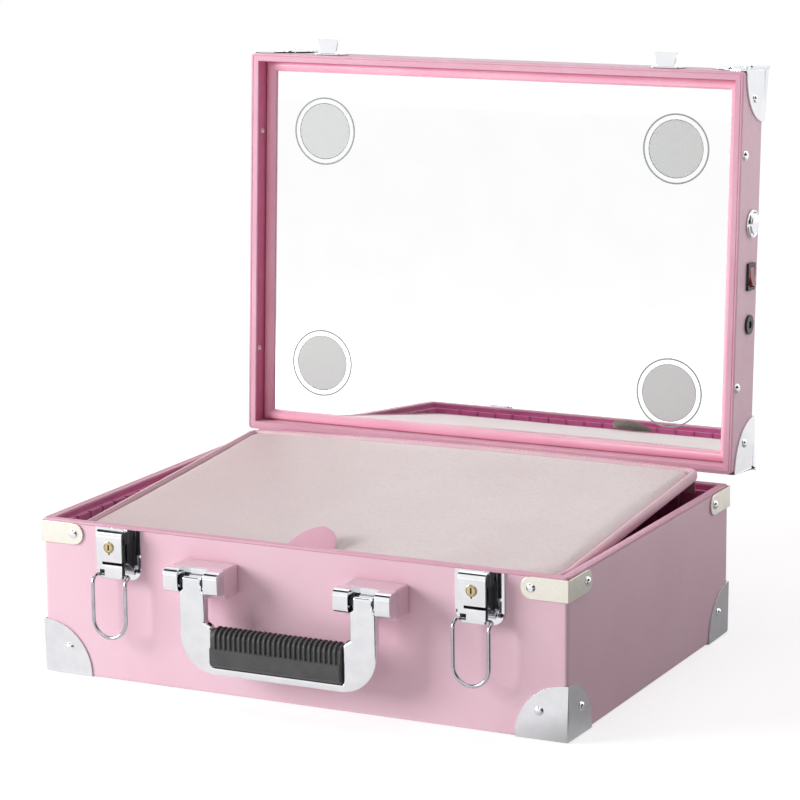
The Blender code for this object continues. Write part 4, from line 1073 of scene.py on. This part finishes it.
def dimmer():
    """A dished chrome bezel, and a knob with a dished face."""
    face = LID[1].x + GAP
    bore, spindle, sunk = 0.0030, 0.0024, -0.004
    low, high = shut_box("dimmer_housing")
    place = (0, (low.y + high.y) / 2, (low.z + high.z) / 2)
    radius = (high.y - low.y) / 2
    dish = [(sunk, bore), (sunk, radius - 0.0040), (0.0, radius - 0.0038), (0.0, radius), (0.0012, radius)]
    dish += [(0.0020, radius - 0.0005), (0.0023, radius - 0.0011), (0.0020, radius - 0.0018)]
    dish += [(0.0004, radius - 0.0023), (0.0004, bore)]
    mesh = moved(ring_of([(face + along, r) for along, r in dish], 64), place)
    piece("dimmer_bezel", smooth(mesh, 40), "lid", ["chrome"], ["dimmer_housing"], lid=True)
    knob = shut_box("dimmer_knob")
    radius, low, high = (knob[1].y - knob[0].y) / 2, face + 0.0007, face + 0.0036
    profile = [(face - 0.009, 0.0), (face - 0.009, spindle), (low, spindle), (low, radius - 0.0006)]
    profile += [(low + 0.0005, radius), (high - 0.0010, radius), (high - 0.0003, radius - 0.0004)]
    profile += [(high, radius - 0.0012), (high - 0.0008, radius * 0.55), (high - 0.0012, 0.0)]
    mesh = moved(turned(profile), place)
    piece("dimmer_knob_finished", smooth(mesh, 40), "dimmer", ["chrome"], ["dimmer_knob"], lid=True)


def side_screws():
    """Two domed screws through each side of the lid, with their ends inside."""
    outer, inner = [], []
    for _, sx in SIDES:
        for y, rise in ((-0.090, 0.009), (0.087, 0.0065)):
            z = LID_RIM[0].z + rise
            outer.append(((sx * LID[1].x, y, z), (sx, 0, 0)))
            inner.append(((sx * (LINER[1].x + GAP), y, z), (-sx, 0, 0)))
    domes("lid_side_screws", outer, 0.0042, 0.0028, "lid", "chrome", lid=True)
    domes("lid_side_screw_ends", inner, 0.0024, 0.0014, "lid", "nickel", lid=True)


# Stage


def grey(level):
    """A linear grey, for light and for paper."""
    return (level, level, level, 1)


def stage():
    """A white floor without a horizon, and soft light from the front left."""
    reach, below = 30, 0.0002
    floor = mesh_of([(reach * sx, reach * sy, -below) for sx, sy in ((-1, -1), (1, -1), (1, 1), (-1, 1))], [range(4)])
    made = bpy.data.objects.new("floor", floor)
    made.data.materials.append(studio_paper())
    scene.collection.objects.link(made)
    lamp("key", (-1.75, -1.45, 0.8), (0, 0, 0.1), 1.05, 46)
    lamp("top", (-0.3, 0.2, 3.0), (0, 0, 0), 2.2, 19)
    lamp("fill", (1.2, 1.2, 1.0), (0.1, 0.05, 0.1), 1.0, 6)
    surroundings()


def studio_paper():
    """White paper, lit from below as well, with grey and black cards on the right that only metal and shade see."""
    sockets = {"Roughness": 0.8, "Specular_IOR_Level": 0.0, "Emission_Strength": 1.0}
    made, tree, shader, place = material("studio_paper", **sockets)
    x, y, _ = node(tree, "ShaderNodeSeparateXYZ", {0: place}, None)
    reach = node(tree, "ShaderNodeVectorMath", {0: place}, "Value", operation="LENGTH")
    seen = node(tree, "ShaderNodeLightPath", output="Is Camera Ray")
    slant = node(tree, "ShaderNodeMath", {0: y, 1: 0.6, 2: x}, operation="MULTIPLY_ADD")
    hidden = node(tree, "ShaderNodeMath", {0: 1.0, 1: seen}, operation="SUBTRACT")
    share = {"seen": seen, "hidden": hidden}
    for name, value, start, end in (
        ("right", slant, 0.03, 0.20),
        ("front", y, -0.12, -0.20),
        ("near", reach, 0.75, 0.40),
        ("wider", reach, 1.2, 0.8),
        ("far", reach, 0.7, 1.5),
    ):
        span = {"Value": value, "From Min": start, "From Max": end}
        share[name] = node(tree, "ShaderNodeMapRange", span, interpolation_type="SMOOTHSTEP")
    for name, parts in (("grey", ("hidden", "near")), ("black", ("hidden", "front", "wider"))):
        share[name] = share["right"]
        for part in parts:
            both = {0: share[name], 1: share[part]}
            share[name] = node(tree, "ShaderNodeMath", both, operation="MULTIPLY")
    glows = (("seen", 0.66), ("far", 0.84), ("grey", 0.18), ("black", 0.01))
    tones = (("grey", 0.25), ("black", 0.02))
    for socket, layers in (("Emission Color", glows), ("Base Color", tones)):
        top = grey(0.50)
        for name, level in layers:
            mix = {0: share[name], 6: top, 7: grey(level)}
            top = node(tree, "ShaderNodeMix", mix, 2, data_type="RGBA")
        tree.links.new(top, shader.inputs[socket])
    return made


def lamp(name, place, target, size, power):
    light = bpy.data.lights.new(name, "AREA")
    light.size, light.energy = size, power
    aimed(name, light, place, (Vector(target) - Vector(place)).to_track_quat("-Z", "Y"))


def aimed(name, data, place, turn):
    """A lamp or a camera at its place, turned to look its way."""
    made = bpy.data.objects.new(name, data)
    made.location = place
    made.rotation_mode = "QUATERNION"
    made.rotation_quaternion = turn
    scene.collection.objects.link(made)
    return made


# Way that each dark stretch of the room lies, and where it starts and is full, as cosines
DARK_STRETCHES = (
    ((0.95, -0.10, 0.15), 0.55, 0.90),
    ((0.50, -0.84, 0.30), 0.93, 0.985),
    ((-0.44, -0.20, 0.88), 0.90, 0.965),
)


def surroundings():
    """A white room with darker stretches, which metal needs to show its shape, and rosier in its fill."""
    world = bpy.data.worlds.new("studio")
    scene.world = world
    world.use_nodes = True
    tree = world.node_tree
    tree.nodes.clear()
    way = node(tree, "ShaderNodeTexCoord", output="Generated")
    rays = node(tree, "ShaderNodeLightPath", output=None)
    filling = rays["Is Diffuse Ray"]
    dark = 0.0
    for direction, start, end in DARK_STRETCHES:
        facing = {0: way, 1: Vector(direction).normalized()}
        amount = node(tree, "ShaderNodeVectorMath", facing, "Value", operation="DOT_PRODUCT")
        span = {"Value": amount, "From Min": start, "From Max": end}
        stretch = node(tree, "ShaderNodeMapRange", span, interpolation_type="SMOOTHSTEP")
        dark = node(tree, "ShaderNodeMath", {0: stretch, 1: dark}, operation="ADD", use_clamp=True)
    kept = node(tree, "ShaderNodeMapRange", {"Value": filling, "To Min": 1.0, "To Max": 0.4})
    dark = node(tree, "ShaderNodeMath", {0: dark, 1: kept}, operation="MULTIPLY")
    white = {0: filling, 6: (1.05, 1.05, 1.05, 1), 7: (1.0, 0.93, 0.95, 1)}
    white = node(tree, "ShaderNodeMix", white, 2, data_type="RGBA")
    tone = node(tree, "ShaderNodeMix", {0: dark, 6: white, 7: (0.03, 0.03, 0.035, 1)}, 2, data_type="RGBA")
    strength = node(tree, "ShaderNodeMapRange", {"Value": filling, "To Min": 1.0, "To Max": 0.32})
    lit = node(tree, "ShaderNodeBackground", {"Color": tone, "Strength": strength})
    plain = node(tree, "ShaderNodeBackground", {"Color": (1, 1, 1, 1), "Strength": 1.0})
    both = node(tree, "ShaderNodeMixShader", {0: rays["Is Camera Ray"], 1: lit, 2: plain})
    node(tree, "ShaderNodeOutputWorld", {"Surface": both}, None)


def camera():
    lens = bpy.data.cameras.new("camera")
    lens.lens, lens.sensor_width = 142.96, 36.0
    looking = Vector((-0.437128, 0.876273, -0.202643)).to_track_quat("-Z", "Y")
    roll = Matrix.Rotation(radians(-0.555), 3, "Z").to_quaternion()
    scene.camera = aimed("camera", lens, (1.03803, -2.06508, 0.67183), looking @ roll)


def main():
    scene.view_settings.view_transform = "Standard"
    camera()
    stage()
    base_covering()
    lid_covering()
    edgings()
    plain_nodes()
    caps_and_straps()
    hinges()
    latches()
    bail()
    pins()
    grip()
    flap()
    binding()
    pull_tab()
    hinge_tape()
    mirror_and_lights()
    dimmer()
    side_screws()


main()
